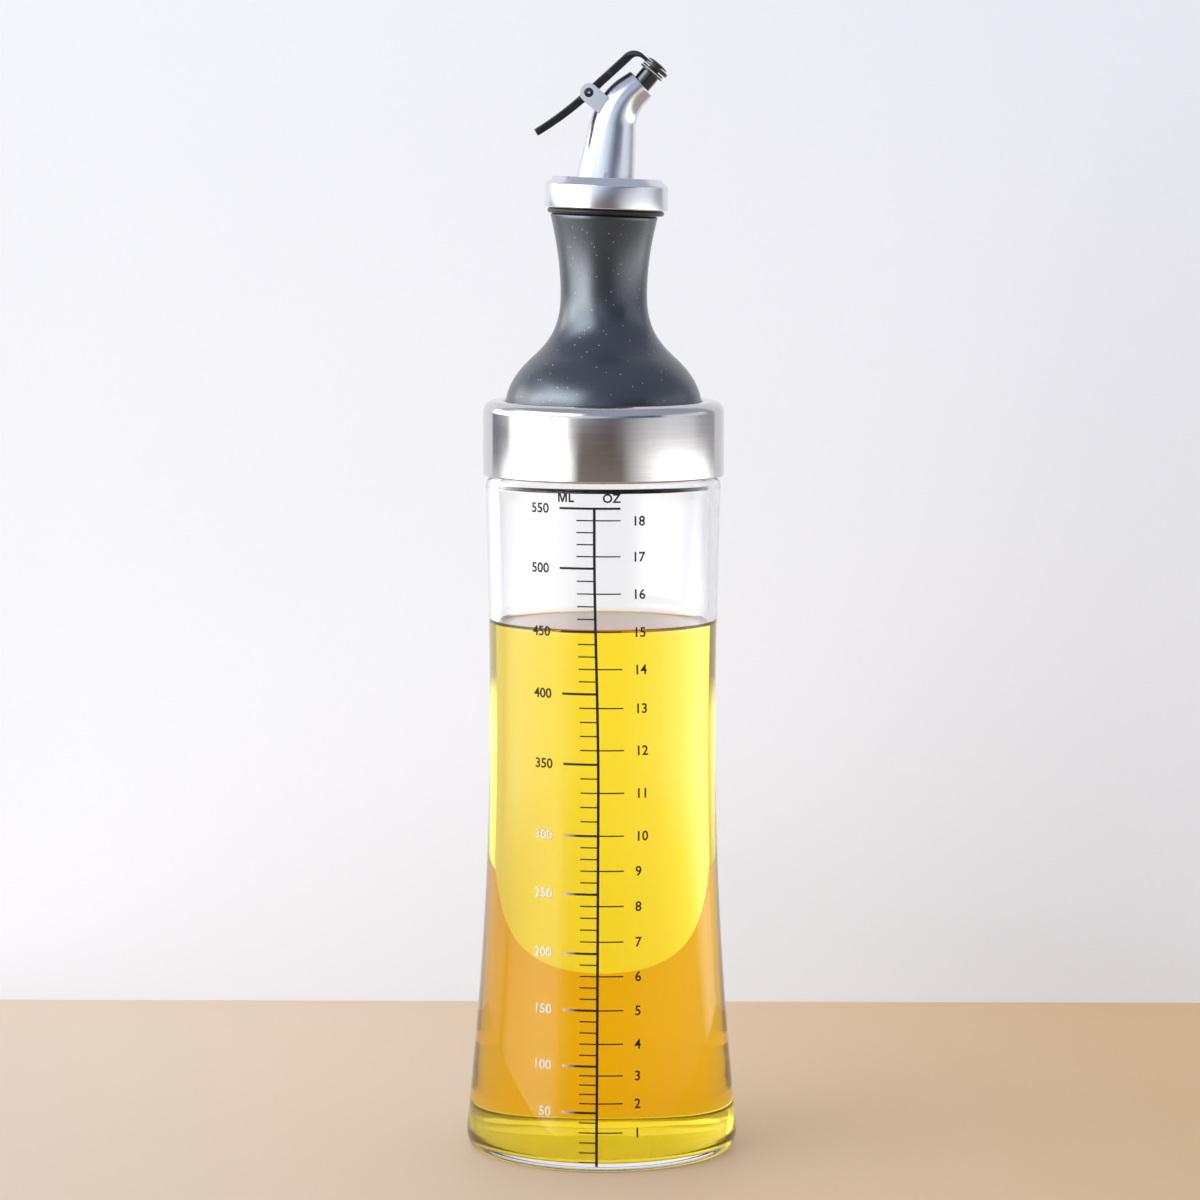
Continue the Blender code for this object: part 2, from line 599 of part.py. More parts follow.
def main():
    for thing in list(bpy.data.objects):
        bpy.data.objects.remove(thing)
    parts = new_collection("oil_dispenser_bottle")
    tools = new_collection("cutters")
    clear_glass = material("clear glass", (0.95, 0.97, 0.96), 0.02, transmission=1.0)
    oil_yellow = material("oil", (0.9, 0.72, 0.12), 0.02, transmission=0.9, ior=1.47)
    brushed_steel = material("brushed steel", (0.72, 0.70, 0.68), 0.32, metallic=1.0)
    soft_black = material("soft-touch black", (0.035, 0.037, 0.042), 0.55)
    rubber = material("black rubber", (0.02, 0.02, 0.022), 0.35)
    satin_silver = material("satin silver", (0.74, 0.75, 0.79), 0.28, metallic=0.9)
    gloss_black = material("gloss black", (0.012, 0.012, 0.014), 0.12)

    lean = Matrix.Translation((0, 0, POURER_PIVOT_HEIGHT)) @ Matrix.Rotation(POURER_LEAN, 4, "Y")
    disc_height = Matrix.Translation((0, 0, DISC_BOTTOM - POURER_PIVOT_HEIGHT))
    pourer = empty("pourer_frame", lean @ disc_height, parts)
    hinge = empty("hinge", Matrix.Translation((HINGE_X, 0, HINGE_Z)), parts, parent=pourer)

    neck = make_neck(parts)
    solids = {
        make_glass(parts): clear_glass,
        make_oil(parts): oil_yellow,
        make_collar(parts): brushed_steel,
        neck: soft_black,
    }
    leaning = {
        make_stopper(parts): rubber,
        make_spout(parts, tools): satin_silver,
        make_nozzle(parts): gloss_black,
    }
    for tool in tools.objects:
        tool.parent = pourer
    fixed_tools = set(tools.objects)
    moving = {
        make_lever(parts, tools): gloss_black,
        make_seal(parts): rubber,
    }
    for piece in leaning:
        piece.parent = pourer
    for piece in [*moving, *(tool for tool in tools.objects if tool not in fixed_tools)]:
        piece.parent = hinge
    solids.update(leaning)
    solids.update(moving)

    bpy.context.view_layer.update()
    for solid, finish in solids.items():
        settle(solid)
        solid.data.materials.clear()
        solid.data.materials.append(finish)
    lean_top(neck)
    for tool in list(tools.objects):
        bpy.data.objects.remove(tool)
    bpy.data.collections.remove(tools)


main()
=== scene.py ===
"""Looks of the oil dispenser bottle: fine surfaces, finishes, printed scale, floor, light and camera.

Metres, Z up, in the frame of the solids. The side with the measuring scale faces -Y.
"""
import math

import bmesh
import bpy
from mathutils import Matrix, Vector


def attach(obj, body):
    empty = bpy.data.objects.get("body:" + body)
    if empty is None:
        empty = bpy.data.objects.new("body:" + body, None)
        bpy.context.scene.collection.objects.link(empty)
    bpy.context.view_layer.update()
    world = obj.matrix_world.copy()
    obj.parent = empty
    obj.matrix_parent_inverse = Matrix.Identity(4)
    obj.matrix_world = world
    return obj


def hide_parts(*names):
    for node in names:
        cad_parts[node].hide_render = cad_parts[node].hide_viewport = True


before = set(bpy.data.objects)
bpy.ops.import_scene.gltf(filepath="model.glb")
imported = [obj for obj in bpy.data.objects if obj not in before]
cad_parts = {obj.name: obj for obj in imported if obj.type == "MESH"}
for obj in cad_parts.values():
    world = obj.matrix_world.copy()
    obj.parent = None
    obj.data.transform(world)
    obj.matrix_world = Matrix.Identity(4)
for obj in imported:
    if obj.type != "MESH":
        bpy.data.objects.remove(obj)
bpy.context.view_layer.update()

MM = 0.001
WELD = 0.004 * MM
SHARP = math.radians(34)
ON_EDGE = Matrix.Rotation(math.pi / 2, 4, "X")

# Glass bottle
BASE_RADIUS = 38.4 * MM
BASE_HEIGHT = 5.0 * MM
FOOT_ROUNDING = 2.0 * MM
WAIST_RADIUS = 31.85 * MM
WAIST_HEIGHT = 118.0 * MM
LOWER_FLARE_POWER = 1.85
UPPER_FLARE_POWER = 2.0
SHOULDER_RADIUS = 32.95 * MM
SHOULDER_HEIGHT = 187.8 * MM
SHOULDER_ROUNDING = 2.5 * MM
GLASS_WALL = 2.7 * MM
FLOOR_HEIGHT = 2.4 * MM
FLOOR_ROUNDING = 7.0 * MM
FLOOR_CORNER_END = -8
GLASS_NECK_RADIUS = 30.3 * MM
GLASS_NECK_BORE = 27.0 * MM
GLASS_TOP = 206.0 * MM
RIM_ROUNDING = 1.2 * MM
CAVITY_SHOULDER = 187.0 * MM
SHOULDER_GLASS = 1.0 * MM

# Oil
OIL_LEVEL = 149.0 * MM
OIL_REACH = 0.5 * MM
MENISCUS_RUN = 2.2 * MM
MENISCUS_RISE = 1.1 * MM
MENISCUS_STEPS = 16
OIL_COLOUR = (1.0, 0.925, 0.0, 1.0)
OIL_DENSITY = 56.0
# Painted glow inside the oil: its strength and colour
OIL_PAINTED_GLOW = 1.6
OIL_PAINTED_GLOW_COLOUR = (1.0, 0.55, 0.0, 1.0)

# Steel collar
COLLAR_RADIUS = 33.8 * MM
COLLAR_BOTTOM = 190.5 * MM
COLLAR_TOP = 211.5 * MM
COLLAR_ROUNDING = 3.3 * MM
COLLAR_BORE = 30.6 * MM
COLLAR_LIP_RADIUS = 28.1 * MM
COLLAR_LIP_THICKNESS = 2.7 * MM
COLLAR_LIP_ROUNDING = 0.6 * MM
COLLAR_FOOT_ROUNDING = 0.5 * MM

# Moulded neck
NECK_TOP = 263.2 * MM
NECK_TOP_RADIUS = 14.9 * MM
NECK_TOP_ROUNDING = 0.6 * MM
NECK_WAIST_RADIUS = 12.1 * MM
NECK_WAIST_HEIGHT = 241.0 * MM
BELL_TURN_RADIUS = 20.0 * MM
BELL_TURN_HEIGHT = 223.5 * MM
BELL_RADIUS = 27.45 * MM
BELL_FOOT = 210.9 * MM
NECK_WALL = 2.1 * MM
FLANGE_RADIUS = 30.2 * MM
FLANGE_BOTTOM = 206.3 * MM
FLANGE_TOP = 208.5 * MM

# Control points of the neck's side, from the top down
NECK_FLARE = (13.5 * MM, 256.5 * MM)
NECK_FLARE_END = (NECK_WAIST_RADIUS, 250.0 * MM)
BELL_START = (NECK_WAIST_RADIUS, 233.0 * MM)
BELL_ENTRY = (14.4 * MM, 228.5 * MM)
BELL_SWELL = (24.2 * MM, 219.7 * MM)
BELL_DROP = (27.0 * MM, 215.5 * MM)

# Pourer, in its own leaning frame that starts under the disc
POURER_LEAN = math.radians(2.0)
POURER_PIVOT_HEIGHT = 250.0 * MM
DISC_BOTTOM = 264.8 * MM
DISC_HEIGHT = 8.7 * MM
DISC_RADIUS = 17.35 * MM
DISC_SHOULDER_RADIUS = 17.1 * MM
DISC_SHOULDER_HEIGHT = 6.5 * MM
DISC_TOP_RADIUS = 14.9 * MM
DISC_EDGE = 0.45 * MM
DISC_SLOPE_OUT = 0.62 * DISC_EDGE
DISC_SLOPE_DOWN = 0.78 * DISC_EDGE
DISC_DRAFT = 0.02 * MM
SPIGOT_RADIUS = 5.7 * MM
SPIGOT_LENGTH = 8.0 * MM
GASKET_RADIUS = 16.3 * MM
GASKET_THICKNESS = 1.5 * MM
GASKET_GAP = 0.05 * MM
PLUG_TOP_RADIUS = 11.3 * MM
PLUG_BOTTOM_RADIUS = 9.5 * MM
PLUG_LENGTH = 18.0 * MM
PLUG_BORE = 6.0 * MM

# Spout
SPOUT_BASE_X = -0.3 * MM
SPOUT_BASE_RADIUS = 8.15 * MM
SPOUT_ROOT = 1.5 * MM
SPOUT_MOUTH_RADIUS = 4.7 * MM
SPOUT_TAPER_POWER = 1.15
SPOUT_LEAN = math.radians(5.0)
SPOUT_RISE = 13.6 * MM
SPOUT_BEND_RADIUS = 16.0 * MM
SPOUT_BEND_LEAN = math.radians(47.5)
SPOUT_REACH = 3.4 * MM
SPOUT_LIP = 0.4 * MM
SPOUT_BORE = 3.1 * MM
BORE_OVERRUN = 1.0 * MM
BORE_LEAD = 0.3 * MM

# Nozzle
NOZZLE_X = 8.8 * MM
NOZZLE_Z = 35.2 * MM
NOZZLE_ANGLE = math.radians(52.0)
NOZZLE_RADIUS = 2.8 * MM
NOZZLE_BORE = 1.8 * MM
NOZZLE_INSERTED = 6.5 * MM
NOZZLE_EXPOSED = 4.1 * MM
NOZZLE_FLANGE_RADIUS = 3.75 * MM
NOZZLE_FLANGE_THICKNESS = 0.5 * MM
NOZZLE_EDGE = 0.12 * MM

# Hinge ears
HINGE_X = -5.93 * MM
HINGE_Z = 31.98 * MM
EAR_RADIUS = 2.6 * MM
EAR_LENGTH = 6.2 * MM
EAR_ANGLE = math.radians(-39.0)
EAR_INNER = 3.1 * MM
EAR_THICKNESS = 1.5 * MM
EAR_EDGE = 0.2 * MM
TRUNNION_HOLE = 1.3 * MM

# Lever, in the hinge's frame
LEVER_WIDTH = 5.6 * MM
LEVER_THICKNESS = 2.4 * MM
LEVER_EDGE = 0.3 * MM
ARM_ANGLE = math.radians(44.5)
ARM_BEND_RADIUS = 3.0 * MM
HEAD_THICKNESS = 1.1 * MM
HEAD_RADIUS = 4.1 * MM
TAIL_ANGLE = math.radians(225.0)
TAIL_TURN = math.radians(-12.0)
TAIL_LENGTH = 18.4 * MM
TAIL_THICKNESS = 2.1 * MM
HUB_RADIUS = 2.3 * MM
TRUNNION_RADIUS = 1.0 * MM
TRUNNION_EDGE = 0.2 * MM
TRUNNION_DIMPLE = 0.38 * MM
DIMPLE_EDGE = 0.1 * MM
RECESS_RIM = 0.5 * MM
RECESS_DEPTH = 0.7 * MM
TAIL_RECESS = (0.93, 0.84, 0.75, 0.65, 0.55, 0.46, 0.38, 0.29, 0.2)
ARM_RECESS = (0.24, 0.5)
SHOULDER_RECESS = (0.58, 0.95)

# Seal
SEAL_RADIUS = 3.5 * MM
SEAL_THICKNESS = 0.4 * MM
STEM_RADIUS = 1.5 * MM
BUTTON_RADIUS = 3.2 * MM
BUTTON_HEIGHT = 0.7 * MM
SEAL_GAP = 0.3 * MM
STEM_HOLE = STEM_RADIUS + SEAL_GAP
STEM_HOLE_EDGE = 0.01 * MM

# Printed measuring scale: its marks' heights in millimetres, and lengths round the glass
MARK_HEIGHTS = (2.9, 16.6, 29.4, 44.8, 60.5, 76.9, 93.1, 112.9, 132.4, 149.6, 167.1, 183.6)
MARK_STEP = 50
MINOR_STEP = 10
FULL = 550
OUNCE = 30
OUNCES = 18
LINE_FOOT = 1.2 * MM
INK_THICKNESS = 0.06 * MM
INK_WELD = 0.002 * MM
LINE_WIDTH = 0.75 * MM
MAJOR_WIDTH = 0.62 * MM
MINOR_WIDTH = 0.36 * MM
MAJOR_START = -9.8 * MM
MINOR_START = -4.95 * MM
OUNCE_END = 7.15 * MM
ML_RIGHT = -13.0 * MM
OUNCE_LEFT = 10.4 * MM
M_MIDDLE = -8.92 * MM
M_WIDTH = 2.6 * MM
M_SHOULDER = 1.55
M_NOTCH = 0.70
M_VALLEY = 0.35
L_LEFT = -7.15 * MM
L_WIDTH = 1.55 * MM
UNIT_HEIGHT = 2.45 * MM
UNIT_STROKE = 0.50 * MM
UNIT_BOLD = 0.085 * MM
OUNCE_UNIT = 4.7 * MM
UNIT_RISE = 2.9 * MM
DIGIT_HEIGHT = 2.75 * MM
BOLD = 0.055 * MM
CAP_HEIGHT = 0.729
# Painted highlight on the print's lower left: where it fades in, across and up
INK_HIGHLIGHT_X = (-7.0 * MM, -12.0 * MM)
INK_HIGHLIGHT_Z = (112.0 * MM, 90.0 * MM)
LINE_TURN_LOW = math.radians(-2.1)
LINE_TURN_HIGH = math.radians(-4.3)
LINE_TURN_START = 105.0 * MM
LINE_TURN_END = 175.0 * MM

# Flakes in the moulded neck, their sparkle painted as pale flecks
SPECK_SCALE = 1500.0
SPECK_SIZE = 0.2
SPECK_RARITY = 0.95

# Camera and room
FOCAL_LENGTH = 126.0
SENSOR = 36.0
CAMERA_PLACE = Vector((-0.84, -1176.0, 275.7)) * MM
CAMERA_PITCH = math.radians(5.85)
CAMERA_ROLL = math.radians(0.15)
WALL_DISTANCE = 204.5 * MM
FLOOR_DROP = 0.3 * MM

# Soft light by its direction: degrees to the right of the front, and colour
GLASS_RING = (
    (180, (0.45, 0.46, 0.48)),
    (-140, (0.40, 0.40, 0.42)),
    (-120, (0.30, 0.30, 0.32)),
    (-98, (1.3, 1.3, 1.3)),
    (-75, (1.9, 1.9, 1.9)),
    (-50, (1.9, 1.9, 1.9)),
    (-36, (1.2, 1.2, 1.2)),
    (-24, (0.06, 0.05, 0.04)),
    (18, (0.06, 0.05, 0.04)),
    (40, (0.55, 0.55, 0.55)),
    (60, (1.0, 1.0, 1.0)),
    (75, (1.2, 1.2, 1.2)),
    (110, (1.2, 1.2, 1.2)),
    (125, (0.55, 0.55, 0.55)),
    (142, (0.45, 0.46, 0.48)),
)
LOW_RING = (
    (180, (0.58, 0.59, 0.61)),
    (-142, (0.58, 0.59, 0.61)),
    (-131, (0.07, 0.07, 0.09)),
    (-104, (0.07, 0.07, 0.09)),
    (-97, (0.6, 0.6, 0.6)),
    (-80, (1.1, 1.1, 1.1)),
    (-62, (1.9, 1.9, 1.9)),
    (-45, (2.0, 2.0, 2.0)),
    (-37, (0.60, 0.60, 0.60)),
    (-30, (0.20, 0.19, 0.19)),
    (-20, (0.062, 0.045, 0.037)),
    (7, (0.050, 0.038, 0.032)),
    (14, (0.075, 0.066, 0.064)),
    (26, (0.165, 0.160, 0.165)),
    (42, (0.25, 0.245, 0.255)),
    (64, (0.285, 0.28, 0.295)),
    (92, (0.245, 0.24, 0.255)),
    (106, (0.13, 0.13, 0.14)),
    (132, (0.13, 0.13, 0.14)),
    (142, (0.55, 0.56, 0.58)),
)
DISC_RING = (
    (180, (0.30, 0.31, 0.34)),
    (-150, (0.30, 0.31, 0.34)),
    (-132, (0.21, 0.225, 0.25)),
    (-112, (0.9, 0.9, 0.9)),
    (-80, (1.9, 1.9, 1.9)),
    (-44, (1.9, 1.9, 1.9)),
    (-34, (0.50, 0.53, 0.57)),
    (-22, (0.34, 0.38, 0.42)),
    (-11, (0.19, 0.22, 0.27)),
    (-3, (0.10, 0.12, 0.175)),
    (4, (0.075, 0.092, 0.145)),
    (15, (0.060, 0.070, 0.108)),
    (26, (0.085, 0.096, 0.135)),
    (38, (0.16, 0.17, 0.205)),
    (52, (0.225, 0.235, 0.27)),
    (76, (0.253, 0.265, 0.30)),
    (92, (0.20, 0.21, 0.24)),
    (107, (0.138, 0.147, 0.168)),
    (118, (0.12, 0.13, 0.15)),
    (135, (0.20, 0.205, 0.22)),
)
HIGH_RING = (
    (180, (0.35, 0.36, 0.38)),
    (-150, (0.40, 0.41, 0.43)),
    (-130, (1.0, 1.0, 1.0)),
    (-92, (1.0, 1.0, 1.0)),
    (-73, (0.38, 0.39, 0.40)),
    (-53, (0.21, 0.245, 0.285)),
    (-34, (0.27, 0.305, 0.345)),
    (-17, (0.29, 0.325, 0.37)),
    (-4, (0.24, 0.27, 0.315)),
    (12, (0.115, 0.13, 0.165)),
    (26, (0.040, 0.048, 0.064)),
    (50, (0.025, 0.032, 0.046)),
    (56, (0.060, 0.070, 0.090)),
    (63, (0.27, 0.29, 0.325)),
    (112, (0.29, 0.305, 0.34)),
    (122, (0.14, 0.145, 0.165)),
    (136, (0.13, 0.135, 0.155)),
    (150, (0.33, 0.34, 0.36)),
)
WINDOW_RING = (
    (180, (0.14, 0.15, 0.185)),
    (-135, (0.14, 0.15, 0.185)),
    (-118, (0.20, 0.21, 0.24)),
    (-94, (0.60, 0.64, 0.70)),
    (-72, (1.45, 1.55, 1.7)),
    (-38, (1.45, 1.55, 1.7)),
    (-18, (0.14, 0.15, 0.185)),
)
GLASS_CHANGE = (math.radians(-7.2), math.radians(-6.2))
DISC_CHANGE = (math.radians(-0.8), math.radians(2.2))
HIGH_CHANGE = (math.radians(4.6), math.radians(6.6))
WINDOW_CHANGE = (math.radians(19.0), math.radians(24.0))
CEILING_CHANGE = (math.radians(38.0), math.radians(44.0))
CEILING_LIGHT = (0.14, 0.15, 0.185)
FLOOR_CHANGE = (math.radians(-8.4), math.radians(-18.0))
FLOOR_LIGHT = (0.135, 0.118, 0.105)
PLAIN_LIGHT = (0.29, 0.29, 0.295)
LIGHT_STRENGTH = 3.0
SOFTBOX_TURN = math.radians(-61.0)
SOFTBOX_DISTANCE = 200.0 * MM
SOFTBOX_MIDDLE = 281.0 * MM
SOFTBOX_WIDTH = 250.0 * MM
SOFTBOX_HEIGHT = 54.0 * MM
SOFTBOX_POWER = 0.14
FLOOR_REACH = 0.32
WALL_HALF_WIDTH = 0.27
WALL_HEIGHT = 2.0
WALL_GLOW = 0.19
FLOOR_GLOW = 0.41
SIDE_GLOW = 0.40
SIDE_GLOW_X = (-50.0 * MM, -200.0 * MM)
FLOOR_THROUGH_OIL = (1.0, 0.80, 0.30)
# Painted light on the floor and wall: reach of the change from the lighter left to the shaded right
STAGE_SHADE_X = 170.0 * MM

SEGMENTS = 192


def arc(centre, radius, start, end, steps, height=None):
    """Points (x, y) on an arc, round or with its own height; the angles are in degrees."""
    rise = radius if height is None else height
    angles = [math.radians(start + (end - start) * i / steps) for i in range(steps + 1)]
    return [(centre[0] + radius * math.cos(a), centre[1] + rise * math.sin(a)) for a in angles]


def bezier(start, near_start, near_end, end, steps):
    """Points on a cubic curve, the first one left out."""
    points = []
    for i in range(1, steps + 1):
        t = i / steps
        shares = ((1 - t) ** 3, 3 * t * (1 - t) ** 2, 3 * t * t * (1 - t), t ** 3)
        corners = (start, near_start, near_end, end)
        points.append(tuple(sum(s * c[k] for s, c in zip(shares, corners)) for k in (0, 1)))
    return points


def offset_line(points, distance):
    """The same line moved to its right by distance."""
    moved = []
    for i, (x, y) in enumerate(points):
        before, after = points[max(i - 1, 0)], points[min(i + 1, len(points) - 1)]
        dx, dy = after[0] - before[0], after[1] - before[1]
        length = math.hypot(dx, dy)
        moved.append((x + dy / length * distance, y - dx / length * distance))
    return moved


def towards(angle):
    """Unit vector at an angle from the first axis."""
    return Vector((math.cos(angle), math.sin(angle)))


def link(name, data):
    """New object in the scene."""
    thing = bpy.data.objects.new(name, data)
    bpy.context.scene.collection.objects.link(thing)
    return thing


def evaluated_mesh(thing):
    """Mesh of an object as its modifiers, curve or font make it."""
    bpy.context.view_layer.update()
    return bpy.data.meshes.new_from_object(thing.evaluated_get(bpy.context.evaluated_depsgraph_get()))


def apply_modifiers(thing):
    """Replace an object's mesh by its evaluated one, smooth apart from its clear edges."""
    mesh = evaluated_mesh(thing)
    thing.modifiers.clear()
    thing.data = mesh
    mesh.shade_smooth()
    mesh.set_sharp_from_angle(angle=SHARP)


def turned(name, outline, segments=SEGMENTS, closed=False, matrix=None):
    """Solid of revolution about Z; the (r, z) outline runs down its outer side."""
    edges = [(i, i + 1) for i in range(len(outline) - 1)]
    if closed:
        edges.append((len(outline) - 1, 0))
    mesh = bpy.data.meshes.new(name)
    mesh.from_pydata([(r, 0, z) for r, z in outline], edges, [])
    solid = link(name, mesh)
    screw = solid.modifiers.new("Turn", "SCREW")
    screw.steps = segments
    screw.render_steps = segments
    screw.use_merge_vertices = True
    screw.merge_threshold = WELD
    apply_modifiers(solid)
    if matrix is not None:
        solid.data.transform(matrix)
    return solid


def mesh_from_curve(curve_object):
    """Mesh object with welded caps in place of a curve object."""
    mesh = evaluated_mesh(curve_object)
    mesh.transform(curve_object.matrix_world)
    name = curve_object.name
    work = bmesh.new()
    work.from_mesh(mesh)
    bmesh.ops.remove_doubles(work, verts=work.verts, dist=WELD)
    bmesh.ops.recalc_face_normals(work, faces=work.faces)
    work.to_mesh(mesh)
    work.free()
    bpy.data.objects.remove(curve_object)
    return link(name, mesh)


def straight_curve(name, dimensions, points):
    """Curve with one spline of straight runs between (x, y, z) points."""
    curve = bpy.data.curves.new(name, "CURVE")
    curve.dimensions = dimensions
    spline = curve.splines.new("POLY")
    spline.points.add(len(points) - 1)
    for point, place in zip(spline.points, points):
        point.co = (*place, 1)
    return curve


def tube(name, path, radii, sides):
    """Round solid along a path of (x, z) points, with its own radius at each point."""
    curve = straight_curve(name, "3D", [(x, 0, z) for x, z in path])
    curve.bevel_depth = 1.0
    curve.bevel_resolution = sides // 2 - 2
    curve.use_fill_caps = True
    for point, radius in zip(curve.splines[0].points, radii):
        point.radius = radius
    return mesh_from_curve(link(name, curve))


def plate(name, outline, thickness, middle_y, edge=0.0, rounds=2):
    """Flat plate with an (x, z) outline, centred on y = middle_y, with rounded edges."""
    curve = straight_curve(name, "2D", [(x, z, 0) for x, z in outline])
    curve.splines[0].use_cyclic_u = True
    curve.fill_mode = "BOTH"
    curve.extrude = thickness / 2 - edge
    curve.bevel_depth = edge
    curve.bevel_resolution = rounds
    curve.offset = -edge
    curve_object = link(name, curve)
    curve_object.matrix_world = Matrix.Translation((0, middle_y, 0)) @ ON_EDGE
    return mesh_from_curve(curve_object)


def combine(target, steps):
    """Boolean each (operation, tool) into the target, in order, and drop the tools."""
    for operation, tool in steps:
        step = target.modifiers.new(tool.name, "BOOLEAN")
        step.operation = operation
        step.solver = "EXACT"
        step.object = tool
    apply_modifiers(target)
    for _, tool in steps:
        bpy.data.objects.remove(tool)


def glass_radius(height):
    """Outer radius of the glass between its foot and its shoulder."""
    if height < WAIST_HEIGHT:
        share = (WAIST_HEIGHT - height) / (WAIST_HEIGHT - BASE_HEIGHT)
        return WAIST_RADIUS + (BASE_RADIUS - WAIST_RADIUS) * share ** LOWER_FLARE_POWER
    share = (height - WAIST_HEIGHT) / (SHOULDER_HEIGHT - WAIST_HEIGHT)
    return WAIST_RADIUS + (SHOULDER_RADIUS - WAIST_RADIUS) * share ** UPPER_FLARE_POWER


def wall_line(start, end, steps, inset):
    """Points of the glass wall between two heights, moved in by inset."""
    heights = [start + (end - start) * i / steps for i in range(steps + 1)]
    return [(glass_radius(h) - inset, h) for h in heights]


def floor_corner(inset):
    """Rounded corner between the cavity's floor and its wall, moved in by inset."""
    top = FLOOR_HEIGHT + FLOOR_ROUNDING
    centre = (glass_radius(top) - GLASS_WALL - FLOOR_ROUNDING, top)
    return arc(centre, FLOOR_ROUNDING - inset, -90, FLOOR_CORNER_END, 14)


def make_glass():
    """Open glass bottle with a flared foot and a plain neck."""
    cavity = wall_line(FLOOR_HEIGHT + FLOOR_ROUNDING, CAVITY_SHOULDER, 64, GLASS_WALL)
    top_of_wall = cavity[-1]
    neck_start = SHOULDER_HEIGHT + SHOULDER_ROUNDING
    to_neck = bezier(
        top_of_wall,
        (top_of_wall[0], neck_start - SHOULDER_GLASS),
        (GLASS_NECK_BORE, neck_start - SHOULDER_GLASS),
        (GLASS_NECK_BORE, neck_start + GLASS_WALL),
        20,
    )
    rim_height = GLASS_TOP - RIM_ROUNDING
    rim = arc((GLASS_NECK_BORE + RIM_ROUNDING, rim_height), RIM_ROUNDING, 180, 90, 8)
    rim += arc((GLASS_NECK_RADIUS - RIM_ROUNDING, rim_height), RIM_ROUNDING, 90, 0, 8)
    shoulder_run = SHOULDER_RADIUS - GLASS_NECK_RADIUS
    shoulder = arc((GLASS_NECK_RADIUS, SHOULDER_HEIGHT), shoulder_run, 90, 0, 14, SHOULDER_ROUNDING)
    outer_wall = wall_line(SHOULDER_HEIGHT, BASE_HEIGHT, 72, 0.0)[1:]
    foot = arc((BASE_RADIUS - FOOT_ROUNDING, BASE_HEIGHT), FOOT_ROUNDING, 0, -90, 20, BASE_HEIGHT)[1:]
    outline = [(0, FLOOR_HEIGHT)] + floor_corner(0.0) + cavity + to_neck + rim + shoulder
    outline += outer_wall + foot + [(0, 0)]
    return turned("glass_body", outline)


def make_oil():
    """Oil up to its level, with a meniscus, reaching just into the glass wall."""
    inset = GLASS_WALL - OIL_REACH
    edge_height = OIL_LEVEL + MENISCUS_RISE
    edge_radius = glass_radius(edge_height) - inset
    inner = edge_radius - OIL_REACH - MENISCUS_RUN
    outline = [(0, OIL_LEVEL), (inner, OIL_LEVEL)]
    for i in range(1, MENISCUS_STEPS + 1):
        share = i / MENISCUS_STEPS
        outline.append((inner + MENISCUS_RUN * share, OIL_LEVEL + MENISCUS_RISE * share ** 3))
    outline.append((edge_radius, edge_height))
    outline += wall_line(edge_height, FLOOR_HEIGHT + FLOOR_ROUNDING, 64, inset)[1:]
    outline += floor_corner(-OIL_REACH)[::-1] + [(0, FLOOR_HEIGHT - OIL_REACH)]
    return turned("oil_fill", outline)


def make_collar():
    """Steel collar with a rolled top edge."""
    shoulder_centre = (COLLAR_RADIUS - COLLAR_ROUNDING, COLLAR_TOP - COLLAR_ROUNDING)
    shoulder = arc(shoulder_centre, COLLAR_ROUNDING, 90, 0, 16)
    foot_centre = (COLLAR_RADIUS - COLLAR_FOOT_ROUNDING, COLLAR_BOTTOM + COLLAR_FOOT_ROUNDING)
    foot = arc(foot_centre, COLLAR_FOOT_ROUNDING, 0, -90, 6)
    lip_centre = (COLLAR_LIP_RADIUS + COLLAR_LIP_ROUNDING, COLLAR_TOP - COLLAR_LIP_ROUNDING)
    lip = arc(lip_centre, COLLAR_LIP_ROUNDING, 180, 90, 6)
    lip_bottom = COLLAR_TOP - COLLAR_LIP_THICKNESS
    outline = lip + shoulder + foot
    outline += [(COLLAR_BORE, COLLAR_BOTTOM), (COLLAR_BORE, lip_bottom), (COLLAR_LIP_RADIUS, lip_bottom)]
    return turned("collar_ring", outline, closed=True)


def make_neck():
    """Hollow moulded neck: a waisted tube that opens into a bell with a flange."""
    top_centre = (NECK_TOP_RADIUS - NECK_TOP_ROUNDING, NECK_TOP - NECK_TOP_ROUNDING)
    top_edge = arc(top_centre, NECK_TOP_ROUNDING, 90, 0, 6)
    waist = (NECK_WAIST_RADIUS, NECK_WAIST_HEIGHT)
    turn = (BELL_TURN_RADIUS, BELL_TURN_HEIGHT)
    side = [top_edge[-1]]
    side += bezier(side[0], NECK_FLARE, NECK_FLARE_END, waist, 24)
    side += bezier(waist, BELL_START, BELL_ENTRY, turn, 24)
    side += bezier(turn, BELL_SWELL, BELL_DROP, (BELL_RADIUS, BELL_FOOT), 24)
    inside = offset_line(side, NECK_WALL)
    inside[0] = (inside[0][0], NECK_TOP)
    inside[-1] = (BELL_RADIUS - NECK_WALL, BELL_FOOT)
    outline = top_edge[:-1] + side
    outline += [(BELL_RADIUS, FLANGE_TOP), (FLANGE_RADIUS, FLANGE_TOP), (FLANGE_RADIUS, FLANGE_BOTTOM)]
    outline += [(BELL_RADIUS - NECK_WALL, FLANGE_BOTTOM)] + inside[::-1]
    neck = turned("neck_bell", outline, closed=True)
    for vertex in neck.data.vertices:
        share = max(vertex.co.z - NECK_WAIST_HEIGHT, 0.0) / (NECK_TOP - NECK_WAIST_HEIGHT)
        vertex.co.z -= math.tan(POURER_LEAN) * vertex.co.x * share * share
    return neck


def pourer_matrix():
    """Frame of the leaning pourer, from under its disc."""
    lean = Matrix.Translation((0, 0, POURER_PIVOT_HEIGHT)) @ Matrix.Rotation(POURER_LEAN, 4, "Y")
    return lean @ Matrix.Translation((0, 0, DISC_BOTTOM - POURER_PIVOT_HEIGHT))


